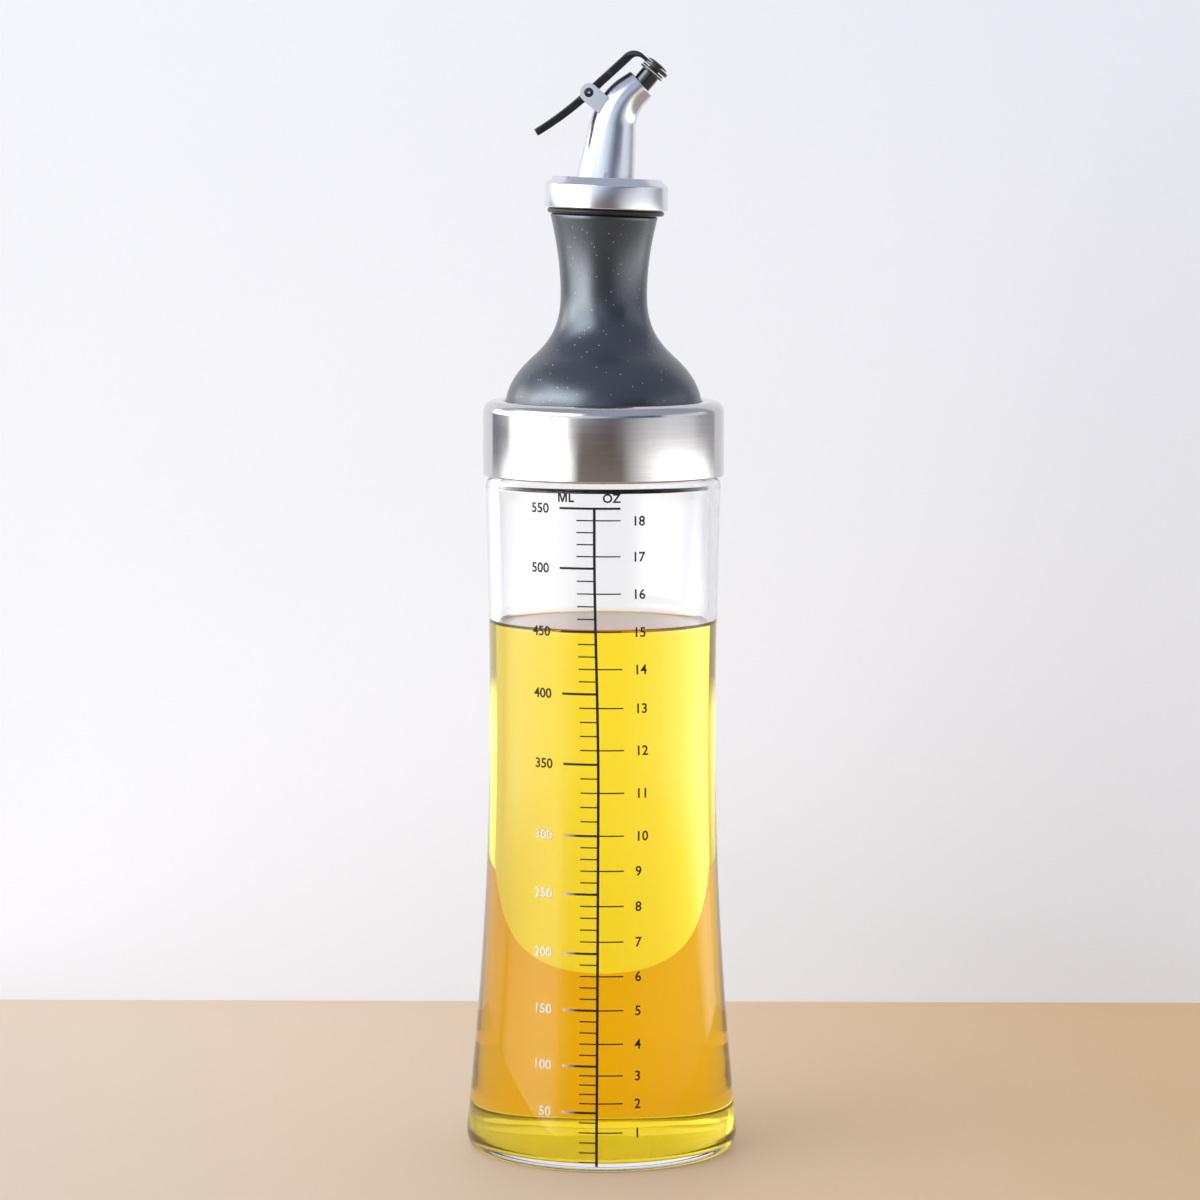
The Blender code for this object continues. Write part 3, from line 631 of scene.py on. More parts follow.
def make_stopper(pourer):
    """Rubber gasket ring with the tapered sleeve that plugs the neck."""
    top, bottom = -GASKET_GAP, -GASKET_GAP - GASKET_THICKNESS
    middle = (top + bottom) / 2
    rounding = GASKET_THICKNESS / 2
    outline = [(PLUG_BORE, top)] + arc((GASKET_RADIUS - rounding, middle), rounding, 90, -90, 12)
    outline += [(PLUG_TOP_RADIUS, bottom), (PLUG_BOTTOM_RADIUS, -PLUG_LENGTH), (PLUG_BORE, -PLUG_LENGTH)]
    return turned("stopper_gasket", outline, 128, closed=True, matrix=pourer)


def spout_line():
    """Middle line of the spout, each point with its radius."""
    start = Vector((SPOUT_BASE_X, DISC_HEIGHT))
    rising = Vector((math.tan(SPOUT_LEAN), 1))
    points = [start + SPOUT_RISE * i / 8 * rising for i in range(9)]
    points.insert(0, start - SPOUT_ROOT * rising)
    bend_steps = 24
    for i in range(1, bend_steps + 1):
        lean = SPOUT_LEAN + (SPOUT_BEND_LEAN - SPOUT_LEAN) * (i - 0.5) / bend_steps
        step = SPOUT_BEND_RADIUS * (SPOUT_BEND_LEAN - SPOUT_LEAN) / bend_steps
        points.append(points[-1] + step * Vector((math.sin(lean), math.cos(lean))))
    out = Vector((math.sin(SPOUT_BEND_LEAN), math.cos(SPOUT_BEND_LEAN)))
    points += [points[-1] + (SPOUT_REACH - SPOUT_LIP) * i / 3 * out for i in (1, 2, 3)]
    lengths = [0.0]
    for before, after in zip(points, points[1:]):
        lengths.append(lengths[-1] + (after - before).length)
    narrowing = SPOUT_BASE_RADIUS - SPOUT_MOUTH_RADIUS
    radii = [SPOUT_BASE_RADIUS - narrowing * (s / lengths[-1]) ** SPOUT_TAPER_POWER for s in lengths]
    mouth = points[-1]
    for angle in (22.5, 45, 67.5, 90):
        turn = math.radians(angle)
        points.append(mouth + SPOUT_LIP * math.sin(turn) * out)
        radii.append(SPOUT_MOUTH_RADIUS - SPOUT_LIP * (1 - math.cos(turn)))
    return points, radii


def nozzle_point(distance):
    """Point on the nozzle's axis, measured out from the spout's mouth."""
    return Vector((NOZZLE_X, NOZZLE_Z)) + distance * towards(NOZZLE_ANGLE)


def bore_line():
    """Middle line of the passage from the spigot's foot to the mouth."""
    foot = [(0, -SPIGOT_LENGTH - BORE_OVERRUN), (0, DISC_HEIGHT)]
    entry = nozzle_point(-NOZZLE_INSERTED - BORE_LEAD)
    lower = (0, DISC_HEIGHT + SPOUT_RISE / 2)
    steer = NOZZLE_INSERTED * towards(NOZZLE_ANGLE)
    bend = bezier(foot[-1], lower, tuple(entry - steer), tuple(entry), 20)
    return foot + bend + [tuple(nozzle_point(NOZZLE_EXPOSED))]


def make_spout(pourer):
    """Disc and bent spout in one moulding, bored for the oil."""
    rim = (DISC_TOP_RADIUS, DISC_HEIGHT)
    slope_top = (DISC_TOP_RADIUS + DISC_SLOPE_OUT, DISC_HEIGHT - DISC_SLOPE_DOWN)
    slope_foot = (DISC_SHOULDER_RADIUS - DISC_SLOPE_OUT, DISC_SHOULDER_HEIGHT + DISC_SLOPE_DOWN)
    shoulder = (DISC_SHOULDER_RADIUS, DISC_SHOULDER_HEIGHT)
    side_top = (DISC_SHOULDER_RADIUS + DISC_DRAFT, DISC_SHOULDER_HEIGHT - DISC_EDGE)
    outline = [(0, DISC_HEIGHT), (DISC_TOP_RADIUS - DISC_EDGE, DISC_HEIGHT)]
    outline += bezier(outline[-1], rim, rim, slope_top, 5) + [slope_foot]
    outline += bezier(slope_foot, shoulder, shoulder, side_top, 5)
    outline += arc((DISC_RADIUS - DISC_EDGE, DISC_EDGE), DISC_EDGE, 0, -90, 6)
    outline += [(SPIGOT_RADIUS, 0), (SPIGOT_RADIUS, -SPIGOT_LENGTH), (0, -SPIGOT_LENGTH)]
    spout = turned("spout_body", outline, 160)
    path, radii = spout_line()
    bore_path = bore_line()
    combine(spout, [
        ("UNION", tube("horn", path, radii, 96)),
        ("DIFFERENCE", tube("bore", bore_path, [SPOUT_BORE] * len(bore_path), 48)),
    ])
    spout.data.transform(pourer)
    return spout


def ear_outline():
    """Plate with a round end at the hinge and a square end on the spout."""
    turn = math.degrees(EAR_ANGLE)
    hinge = (HINGE_X, HINGE_Z)
    outline = arc(hinge, EAR_RADIUS, turn + 90, turn + 270, 40)
    along = towards(EAR_ANGLE)
    across = Vector((-along.y, along.x)) * EAR_RADIUS
    end = Vector(hinge) + EAR_LENGTH * along
    return outline + [tuple(end - across), tuple(end + across)]


def make_ears(pourer):
    """Two flat ears with the trunnion holes, one piece either side of the lever."""
    ears = []
    for side, label in ((-1, "near"), (1, "far")):
        middle = side * (EAR_INNER + EAR_THICKNESS / 2)
        ear = plate(f"ear_{label}", ear_outline(), EAR_THICKNESS, middle, edge=EAR_EDGE)
        hole = arc((HINGE_X, HINGE_Z), TRUNNION_HOLE, 0, 354, 59)
        combine(ear, [("DIFFERENCE", plate("hole", hole, 4 * EAR_THICKNESS, middle))])
        ear.data.transform(pourer)
        ears.append(ear)
    return ears


def make_nozzle(pourer):
    """Tip that lines the spout's mouth, with a thin flange at its end."""
    tip = NOZZLE_EXPOSED
    under = tip - NOZZLE_FLANGE_THICKNESS
    edge, flange, tube_side = NOZZLE_EDGE, NOZZLE_FLANGE_RADIUS, NOZZLE_RADIUS
    outline = [(NOZZLE_BORE, tip), (flange - edge, tip), (flange, tip - edge), (flange, under + edge)]
    outline += [(flange - edge, under), (tube_side + edge, under), (tube_side, under - edge)]
    outline += [(tube_side, -NOZZLE_INSERTED), (NOZZLE_BORE, -NOZZLE_INSERTED)]
    turn = Matrix.Rotation(math.pi / 2 - NOZZLE_ANGLE, 4, "Y")
    place = pourer @ Matrix.Translation((NOZZLE_X, 0, NOZZLE_Z)) @ turn
    return turned("nozzle_tip", outline, 96, closed=True, matrix=place)


def tail_point(share):
    """Point on the tail's middle line, by share of its length, with its half thickness."""
    radius = TAIL_LENGTH / TAIL_TURN
    heading = TAIL_ANGLE + TAIL_TURN * share
    x = radius * (math.sin(heading) - math.sin(TAIL_ANGLE))
    z = radius * (math.cos(TAIL_ANGLE) - math.cos(heading))
    return x, z, (LEVER_THICKNESS + (TAIL_THICKNESS - LEVER_THICKNESS) * share) / 2


def head_frame():
    """Frame at the middle of the lever's head, Z out along the nozzle's axis."""
    height = NOZZLE_EXPOSED + SEAL_THICKNESS + 2 * SEAL_GAP + HEAD_THICKNESS / 2
    place = nozzle_point(height) - Vector((HINGE_X, HINGE_Z))
    return Matrix.Translation((place.x, 0, place.y)) @ Matrix.Rotation(math.pi / 2 - NOZZLE_ANGLE, 4, "Y")


def arm_length():
    """Straight length of the arm, from the hinge to the bend that leads it into the head."""
    along = towards(ARM_ANGLE)
    out = Vector((math.sin(NOZZLE_ANGLE), -math.cos(NOZZLE_ANGLE)))
    head = head_frame().translation
    corner = Vector((head.x, head.z)).cross(out) / along.cross(out)
    turn = ARM_ANGLE + math.pi / 2 - NOZZLE_ANGLE
    return corner - ARM_BEND_RADIUS * math.tan(turn / 2)


def arm_point(share):
    """Point on the arm's middle line, by share of its length, with its half thickness."""
    distance = arm_length() * share
    return distance * math.cos(ARM_ANGLE), distance * math.sin(ARM_ANGLE), LEVER_THICKNESS / 2


def lever_line():
    """Middle line from the tail's tip to the head, each point with its half thickness."""
    line = [tail_point(1 - i / 20) for i in range(20)] + [arm_point(0), arm_point(0.5)]
    arm_end = Vector(arm_point(1)[:2])
    centre = arm_end + ARM_BEND_RADIUS * Vector((math.sin(ARM_ANGLE), -math.cos(ARM_ANGLE)))
    head_angle = NOZZLE_ANGLE - math.pi / 2
    bend_steps = 20
    for i in range(bend_steps + 1):
        share = i / bend_steps
        angle = ARM_ANGLE + (head_angle - ARM_ANGLE) * share + math.pi / 2
        point = centre + ARM_BEND_RADIUS * towards(angle)
        line.append((*point, (LEVER_THICKNESS + (HEAD_THICKNESS - LEVER_THICKNESS) * share) / 2))
    head = head_frame().translation
    return line + [(head.x, head.z, HEAD_THICKNESS / 2)]


def stroke(line, rim=0.0):
    """Closed outline of a middle line's thickness, less a rim on both sides."""
    left, right = [], []
    for i, (x, z, half) in enumerate(line):
        before, after = line[max(i - 1, 0)], line[min(i + 1, len(line) - 1)]
        across = Vector((after[1] - before[1], before[0] - after[0])).normalized() * (half - rim)
        right.append((x + across.x, z + across.y))
        left.append((x - across.x, z - across.y))
    return right + left[::-1]


def drum(name, radius, length, edge, segments, matrix):
    """Short solid cylinder about its own Z, with rounded edges."""
    half = length / 2
    outline = [(0, half)] + arc((radius - edge, half - edge), edge, 90, 0, 4)
    return turned(name, outline + [(r, -z) for r, z in outline[::-1]], segments, matrix=matrix)


def make_lever(hinge):
    """Thumb lever: tail, hub with trunnions, bent arm and round head, with framed recesses."""
    lever = plate("lever_arm", stroke(lever_line()), LEVER_WIDTH, 0.0, edge=LEVER_EDGE, rounds=3)
    head = head_frame()
    trunnion_length = 2 * (EAR_INNER + EAR_THICKNESS)
    steps = [
        ("UNION", drum("hub", HUB_RADIUS, LEVER_WIDTH, LEVER_EDGE, 64, ON_EDGE)),
        ("UNION", drum("trunnions", TRUNNION_RADIUS, trunnion_length, TRUNNION_EDGE, 48, ON_EDGE)),
        ("UNION", drum("head", HEAD_RADIUS, HEAD_THICKNESS, LEVER_EDGE, 96, head)),
        ("DIFFERENCE", drum("stem_hole", STEM_HOLE, 2 * HEAD_THICKNESS, STEM_HOLE_EDGE, 48, head)),
    ]
    stretches = {
        "tail": [tail_point(share) for share in TAIL_RECESS],
        "arm": [arm_point(share) for share in ARM_RECESS],
        "shoulder": [arm_point(share) for share in SHOULDER_RECESS],
    }
    for label, stretch in stretches.items():
        outline = stroke(stretch, RECESS_RIM)
        for side in (-1, 1):
            recess = plate(f"recess_{label}_{side}", outline, 2 * RECESS_DEPTH, side * LEVER_WIDTH / 2)
            steps.append(("DIFFERENCE", recess))
    for side in (-1, 1):
        end = Matrix.Translation((0, side * trunnion_length / 2, 0)) @ ON_EDGE
        dimple = drum(f"dimple_{side}", TRUNNION_DIMPLE, TRUNNION_DIMPLE, DIMPLE_EDGE, 32, end)
        steps.append(("DIFFERENCE", dimple))
    combine(lever, steps)
    lever.data.transform(hinge)
    return lever


def make_seal(hinge):
    """Soft seal: a disc under the lever's head, a stem through it and a domed button on top."""
    over = HEAD_THICKNESS / 2 + SEAL_GAP
    under = -over - SEAL_THICKNESS
    outline = arc((0, over), BUTTON_RADIUS, 90, 0, 16, BUTTON_HEIGHT)
    outline += [(STEM_RADIUS, over), (STEM_RADIUS, -over), (SEAL_RADIUS, -over)]
    outline += [(SEAL_RADIUS, under), (0, under)]
    return turned("seal_button", outline, 96, matrix=hinge @ head_frame())


def line_turn(height):
    """Angle of the scale's upright line from the front, which drifts near the top."""
    share = (height - LINE_TURN_START) / (LINE_TURN_END - LINE_TURN_START)
    share = min(max(share, 0.0), 1.0)
    share = share * share * (3 - 2 * share)
    return LINE_TURN_LOW + (LINE_TURN_HIGH - LINE_TURN_LOW) * share


def on_glass(along, height, lift):
    """Point on the glass: along is the length round it from the upright line."""
    radius = glass_radius(max(height, BASE_HEIGHT))
    if height < BASE_HEIGHT:
        drop = (BASE_HEIGHT - height) / BASE_HEIGHT
        radius -= FOOT_ROUNDING * (1 - math.sqrt(max(1 - drop * drop, 0.0)))
    angle = line_turn(height) + along / radius
    reach = radius + lift
    return Vector((reach * math.sin(angle), -reach * math.cos(angle), height))


def bar(work, start, end, low, high, steps_x, steps_z):
    """Thin flat bar from start to end and low to high, laid out flat for wrapping."""
    made = bmesh.ops.create_grid(work, x_segments=steps_x, y_segments=steps_z, size=0.5)["verts"]
    for vertex in made:
        x, y = vertex.co.x + 0.5, vertex.co.y + 0.5
        vertex.co = (start + (end - start) * x, low + (high - low) * y, 0)


def mark_height(volume):
    """Height of a volume's mark on the glass, volumes in millilitres."""
    index = min(int(volume // MARK_STEP), len(MARK_HEIGHTS) - 2)
    share = volume / MARK_STEP - index
    return (MARK_HEIGHTS[index] + (MARK_HEIGHTS[index + 1] - MARK_HEIGHTS[index]) * share) * MM


def word(name, text, height, along, middle, align, bold):
    """Number or unit sign printed on the glass."""
    curve = bpy.data.curves.new(name, "FONT")
    curve.body = text
    curve.size = height / CAP_HEIGHT
    curve.align_x = align
    curve.offset = bold
    curve.resolution_u = 4
    thing = link(name, curve)
    mesh = evaluated_mesh(thing)
    bpy.data.objects.remove(thing)
    mesh.transform(Matrix.Translation((along, middle - height / 2, 0)))
    return printed(name, mesh)


def millilitre_sign(middle):
    """Letters M and L in straight strokes, printed on the glass."""
    height, stem = UNIT_HEIGHT, UNIT_STROKE
    side = M_WIDTH / 2
    half = [(-stem / 2, 0), (stem - side, M_NOTCH * height), (stem - side, 0), (-side, 0)]
    half += [(-side, height), (M_SHOULDER * stem - side, height), (0, M_VALLEY * height)]
    letter_m = half + [(-x, y) for x, y in half[-2::-1]]
    letter_l = [(0, 0), (0, height), (stem, height), (stem, stem), (L_WIDTH, stem), (L_WIDTH, 0)]
    points = [(x + M_MIDDLE, y, 0) for x, y in letter_m] + [(x + L_LEFT, y, 0) for x, y in letter_l]
    mesh = bpy.data.meshes.new("millilitre_sign")
    mesh.from_pydata(points, [], [range(len(letter_m)), range(len(letter_m), len(points))])
    mesh.transform(Matrix.Translation((0, middle - height / 2, 0)))
    return printed("scale_unit_ml", mesh)


def printed(name, mesh):
    """Closed thin solid from a flat mesh (x along, y up), bent round the glass."""
    work = bmesh.new()
    work.from_mesh(mesh)
    bmesh.ops.remove_doubles(work, verts=work.verts, dist=INK_WELD)
    made = bmesh.ops.extrude_face_region(work, geom=work.faces[:])
    for item in made["geom"]:
        if isinstance(item, bmesh.types.BMVert):
            item.co.z += INK_THICKNESS
    bmesh.ops.recalc_face_normals(work, faces=work.faces)
    work.to_mesh(mesh)
    work.free()
    for vertex in mesh.vertices:
        vertex.co = on_glass(*vertex.co)
    return link(name, mesh)


def make_scale():
    """Printed measuring scale: millilitres on the left, fluid ounces on the right."""
    work = bmesh.new()
    top, bottom = mark_height(FULL), mark_height(0) - LINE_FOOT
    bar(work, -LINE_WIDTH / 2, LINE_WIDTH / 2, bottom, top, 1, 120)
    bar(work, MAJOR_START, OUNCE_END, top - MAJOR_WIDTH / 2, top + MAJOR_WIDTH / 2, 24, 1)
    for volume in range(0, FULL, MINOR_STEP):
        level = mark_height(volume)
        major = volume % MARK_STEP == 0 and volume > 0
        width = MAJOR_WIDTH if major else MINOR_WIDTH
        start = MAJOR_START if major else MINOR_START
        bar(work, start, 0.0, level - width / 2, level + width / 2, 12, 1)
    for ounce in range(1, OUNCES + 1):
        level = mark_height(ounce * OUNCE)
        bar(work, 0.0, OUNCE_END, level - MINOR_WIDTH / 2, level + MINOR_WIDTH / 2, 8, 1)
    flat = bpy.data.meshes.new("scale_lines")
    work.to_mesh(flat)
    work.free()
    pieces = [printed("scale_lines", flat)]
    for volume in range(MARK_STEP, FULL + 1, MARK_STEP):
        place = (ML_RIGHT, mark_height(volume), "RIGHT")
        pieces.append(word(f"scale_ml_{volume}", str(volume), DIGIT_HEIGHT, *place, BOLD))
    for ounce in range(1, OUNCES + 1):
        place = (OUNCE_LEFT, mark_height(ounce * OUNCE), "LEFT")
        pieces.append(word(f"scale_oz_{ounce}", str(ounce), DIGIT_HEIGHT, *place, BOLD))
    pieces.append(millilitre_sign(top + UNIT_RISE))
    place = (OUNCE_UNIT, top + UNIT_RISE, "CENTER")
    pieces.append(word("scale_unit_oz", "OZ", UNIT_HEIGHT, *place, UNIT_BOLD))
    return pieces


def rgba(value):
    """A triple as an opaque colour, and anything else as it is."""
    return (*value, 1.0) if isinstance(value, tuple) else value


def new_material(name, **values):
    """Principled material with its plain values set on the shader's own sockets."""
    finish = bpy.data.materials.new(name)
    finish.use_nodes = True
    shader = finish.node_tree.nodes["Principled BSDF"]
    for socket, value in values.items():
        shader.inputs[socket.replace("_", " ")].default_value = rgba(value)
    return finish, finish.node_tree, shader


def feed(tree, shader, **sources):
    """Link sources to a shader's sockets by name."""
    for socket, source in sources.items():
        tree.links.new(source, shader.inputs[socket.replace("_", " ")])


def add(tree, kind, inputs=None, **settings):
    """New node with its settings, and inputs that are values or other nodes' sockets."""
    node = tree.nodes.new(kind)
    for key, value in settings.items():
        setattr(node, key, value)
    for key, value in (inputs or {}).items():
        if isinstance(value, bpy.types.NodeSocket):
            tree.links.new(value, node.inputs[key])
        else:
            node.inputs[key].default_value = value
    return node


def math_value(tree, operation, *values):
    """Result of a Math node."""
    return add(tree, "ShaderNodeMath", dict(enumerate(values)), operation=operation).outputs[0]


def place_along(tree, axis):
    """Object coordinate along one axis."""
    source = add(tree, "ShaderNodeTexCoord")
    return add(tree, "ShaderNodeSeparateXYZ", {"Vector": source.outputs["Object"]}).outputs[axis]


def coordinates(tree, scale):
    """Object coordinates scaled by a triple."""
    source = add(tree, "ShaderNodeTexCoord")
    inputs = {"Vector": source.outputs["Object"], "Scale": scale}
    return add(tree, "ShaderNodeMapping", inputs).outputs["Vector"]


def noise(tree, scale=(1, 1, 1), size=1.0, detail=3.0, roughness=0.5):
    """Noise value over object coordinates."""
    inputs = {"Vector": coordinates(tree, scale), "Scale": size, "Detail": detail, "Roughness": roughness}
    return add(tree, "ShaderNodeTexNoise", inputs).outputs["Fac"]


def remap(tree, value, low, high, from_low=0.0, from_high=1.0):
    """Value stretched from one range to another."""
    inputs = {"Value": value, "From Min": from_low, "From Max": from_high, "To Min": low, "To Max": high}
    return add(tree, "ShaderNodeMapRange", inputs).outputs["Result"]


def blend_colours(tree, factor, first, second):
    """Colour mixed between two by a factor."""
    inputs = {0: factor, 6: rgba(first), 7: rgba(second)}
    return add(tree, "ShaderNodeMix", inputs, data_type="RGBA").outputs[2]


def bump(tree, shader, height, strength, distance):
    """Bump from a height value on the shader's normal."""
    inputs = {"Height": height, "Strength": strength, "Distance": distance}
    feed(tree, shader, Normal=add(tree, "ShaderNodeBump", inputs).outputs["Normal"])


def glass_material(name, reflection):
    """Clear soda-lime glass with very slight waviness; wetted glass reflects nothing head on."""
    finish, tree, shader = new_material(
        name, Base_Color=(0.997, 1.0, 0.999), Roughness=0.0, IOR=1.5, Transmission_Weight=1.0,
        Specular_Tint=(reflection, reflection, reflection),
    )
    waves = noise(tree, (1, 1, 0.35), size=38.0, detail=1.0)
    bump(tree, shader, waves, strength=0.06, distance=1.0 * MM)
    return finish


def oil_material():
    """Clear yellow cooking oil that deepens with thickness, with a painted orange glow inside it."""
    finish, tree, shader = new_material(
        "cooking_oil", Base_Color=(1.0, 1.0, 1.0), Roughness=0.0, IOR=1.47, Transmission_Weight=1.0,
        Specular_Tint=(0.0, 0.0, 0.0),
    )
    waves = noise(tree, (1, 1, 0.5), size=30.0, detail=1.0)
    bump(tree, shader, waves, strength=0.04, distance=1.0 * MM)
    absorb = add(tree, "ShaderNodeVolumeAbsorption", {"Color": OIL_COLOUR, "Density": OIL_DENSITY})
    # Painted light: the oil's body glows orange, though it is no lamp
    shine = add(tree, "ShaderNodeEmission", {"Color": OIL_PAINTED_GLOW_COLOUR, "Strength": OIL_PAINTED_GLOW})
    body = add(tree, "ShaderNodeAddShader", {0: absorb.outputs["Volume"], 1: shine.outputs["Emission"]})
    tree.links.new(body.outputs["Shader"], tree.nodes["Material Output"].inputs["Volume"])
    return finish


def steel_material():
    """Stainless steel brushed round the ring."""
    finish, tree, shader = new_material(
        "brushed_steel", Metallic=1.0, Anisotropic=0.6, Anisotropic_Rotation=0.25,
    )
    lines = noise(tree, (60, 60, 9000), detail=4.0, roughness=0.7)
    streaks = noise(tree, (18, 18, 1800), detail=2.0)
    colour = blend_colours(tree, lines, (0.50, 0.485, 0.475), (0.78, 0.765, 0.76))
    tangent = add(tree, "ShaderNodeTangent", direction_type="RADIAL", axis="Z").outputs["Tangent"]
    feed(tree, shader, Base_Color=colour, Roughness=remap(tree, streaks, 0.11, 0.18), Tangent=tangent)
    bump(tree, shader, lines, strength=0.15, distance=0.01 * MM)
    return finish


def soft_material():
    """Charcoal soft-touch plastic with fine grain, and flakes whose sparkle is painted as faint pale flecks.
    """
    finish, tree, shader = new_material(
        "soft_touch_black", Specular_IOR_Level=1.0, IOR=1.6, Specular_Tint=(0.84, 0.92, 1.0),
    )
    grain = noise(tree, size=5200.0, detail=2.0)
    cloud = noise(tree, size=60.0)
    base = blend_colours(tree, cloud, (0.011, 0.013, 0.018), (0.016, 0.019, 0.026))
    inputs = {"Vector": coordinates(tree, (1, 1, 1)), "Scale": SPECK_SCALE}
    cells = add(tree, "ShaderNodeTexVoronoi", inputs)
    specks = math_value(tree, "LESS_THAN", cells.outputs["Distance"], SPECK_SIZE)
    rare = add(tree, "ShaderNodeSeparateColor", {"Color": cells.outputs["Color"]})
    chosen = math_value(tree, "GREATER_THAN", rare.outputs["Red"], SPECK_RARITY)
    sparkle = math_value(tree, "MULTIPLY", specks, chosen)
    # Painted glints: the flakes are pale in colour, standing for their sparkle
    colour = blend_colours(tree, sparkle, base, (0.60, 0.62, 0.66))
    feed(tree, shader, Base_Color=colour, Roughness=remap(tree, grain, 0.24, 0.32))
    bump(tree, shader, grain, strength=0.25, distance=0.05 * MM)
    return finish


def silver_material(name, colours, roughness, metallic):
    """Satin silver plating with a faint cloudiness."""
    finish, tree, shader = new_material(name, Metallic=metallic)
    cloud = noise(tree, size=120.0)
    grain = noise(tree, size=6000.0, detail=1.0)
    unevenness = remap(tree, cloud, roughness - 0.03, roughness + 0.03)
    feed(tree, shader, Base_Color=blend_colours(tree, cloud, *colours), Roughness=unevenness)
    bump(tree, shader, grain, strength=0.12, distance=0.02 * MM)
    return finish


def black_material(name, base, roughness, coat):
    """Black moulded plastic or rubber with slight unevenness, also used as the painted shade inside the
    collar.
    """
    finish, tree, shader = new_material(name, Coat_Weight=coat, Coat_Roughness=0.06, Specular_IOR_Level=0.5)
    cloud = noise(tree, size=300.0)
    colour = blend_colours(tree, cloud, base, tuple(c * 1.6 for c in base))
    feed(tree, shader, Base_Color=colour, Roughness=remap(tree, cloud, roughness - 0.04, roughness + 0.06))
    bump(tree, shader, cloud, strength=0.1, distance=0.05 * MM)
    return finish


def ink_material():
    """Black print, with a painted highlight that pales it on the lower left of the scale."""
    finish, tree, shader = new_material("scale_ink", Specular_IOR_Level=0.25)
    grain = noise(tree, size=2500.0, detail=2.0)
    dark = blend_colours(tree, grain, (0.010, 0.008, 0.008), (0.022, 0.018, 0.016))
    left = remap(tree, place_along(tree, "X"), 0.0, 1.0, *INK_HIGHLIGHT_X)
    low = remap(tree, place_along(tree, "Z"), 0.0, 1.0, *INK_HIGHLIGHT_Z)
    # Painted highlight: the print is pale on the lower left of the scale
    pale = math_value(tree, "MULTIPLY", left, low)
    colour = blend_colours(tree, pale, dark, (0.80, 0.76, 0.72))
    feed(tree, shader, Base_Color=colour, Roughness=remap(tree, grain, 0.35, 0.5))
    return finish


def plain_material(name, left, right, roughness):
    """Plain finish for the floor or the wall, made a little lighter on the left by painted light, with a
    trace of unevenness.
    """
    finish, tree, shader = new_material(name, Specular_IOR_Level=0.2, Roughness=roughness)
    # Painted light: lighter on the left, shaded on the right
    across = remap(tree, place_along(tree, "X"), 0.0, 1.0, -STAGE_SHADE_X, STAGE_SHADE_X)
    cloud = noise(tree, size=6.0, detail=4.0)
    inputs = {"Value": remap(tree, cloud, 0.985, 1.015), "Color": blend_colours(tree, across, left, right)}
    feed(tree, shader, Base_Color=add(tree, "ShaderNodeHueSaturation", inputs).outputs["Color"])
    return finish


def wetted(place):
    """Whether a place on the glass is on its inside and below the oil's level."""
    reach = math.hypot(place.x, place.y)
    inside = reach < glass_radius(max(place.z, BASE_HEIGHT)) - GLASS_WALL / 2
    return inside and FLOOR_HEIGHT / 2 < place.z < OIL_LEVEL


def in_collar(place):
    """Whether a place is on the collar's bore or under its lip, where shade is painted."""
    under_lip = COLLAR_TOP - COLLAR_LIP_THICKNESS
    return place.xy.length < COLLAR_BORE + WELD and place.z < under_lip + WELD


def in_dimple(place, hinge_place):
    """Whether a place is on the bottom of the dimple in a trunnion's end."""
    reach = math.hypot(place.x - hinge_place.x, place.z - hinge_place.z)
    return reach < TRUNNION_DIMPLE - WELD and abs(place.y) > EAR_INNER + EAR_THICKNESS - TRUNNION_DIMPLE


def wear(piece, finish, slot, body, *nodes):
    """Finish, body and replaced nodes of one piece; the slot argument is not used."""
    piece.data.materials.clear()
    piece.data.materials.append(finish)
    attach(piece, body)
    if nodes:
        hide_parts(*nodes)


def second_finish(piece, finish, chosen):
    """Another finish on the faces whose middles are chosen."""
    piece.data.materials.append(finish)
    for face in piece.data.polygons:
        if chosen(face.center):
            face.material_index = 1


def make_object():
    """Every piece of the bottle, on its body."""
    pourer = pourer_matrix()
    hinge = pourer @ Matrix.Translation((HINGE_X, 0, HINGE_Z))
    satin = ((0.76, 0.77, 0.80), (0.82, 0.83, 0.86))
    silver = silver_material("satin_silver", satin, roughness=0.20, metallic=1.0)
    grey = ((0.55, 0.58, 0.65), (0.60, 0.63, 0.70))
    ear_grey = silver_material("ear_grey", grey, roughness=0.5, metallic=0.0)
    gloss = black_material("gloss_black", (0.008, 0.008, 0.010), roughness=0.10, coat=1.0)
    rubber = black_material("black_rubber", (0.012, 0.012, 0.014), roughness=0.32, coat=0.0)
    glass = make_glass()
    wear(glass, glass_material("clear_glass", reflection=0.27), "glass", "bottle", "glass_bottle")
    second_finish(glass, glass_material("wetted_glass", reflection=0.0), wetted)
    wear(make_oil(), oil_material(), "oil", "bottle", "oil")
    collar = make_collar()
    wear(collar, steel_material(), "steel", "bottle", "collar")
    # Painted shade: the collar's bore and the underside of its lip are dark, for the shade inside it
    collar_shade = black_material("collar_painted_shade", (0.012, 0.011, 0.009), roughness=0.5, coat=0.0)
    second_finish(collar, collar_shade, in_collar)
    wear(make_neck(), soft_material(), "soft_plastic", "bottle", "neck")
    wear(make_stopper(pourer), rubber, "rubber", "bottle", "stopper")
    wear(make_spout(pourer), silver, "silver_plastic", "bottle", "spout")
    for ear in make_ears(pourer):
        wear(ear, ear_grey, "silver_plastic", "bottle", "spout")
    wear(make_nozzle(pourer), gloss, "black_plastic", "bottle", "nozzle")
    lever = make_lever(hinge)
    wear(lever, gloss, "black_plastic", "lever", "lever")
    second_finish(lever, ear_grey, lambda place: in_dimple(place, hinge.translation))
    wear(make_seal(hinge), rubber, "rubber", "lever", "seal")
    ink = ink_material()
    for piece in make_scale():
        wear(piece, ink, "black_plastic", "bottle")


def stage_sheet(name, outline, finish):
    """Flat stage surface inside an outline."""
    mesh = bpy.data.meshes.new(name)
    mesh.from_pydata(outline, [], [range(len(outline))])
    sheet = link(name, mesh)
    mesh.materials.append(finish)


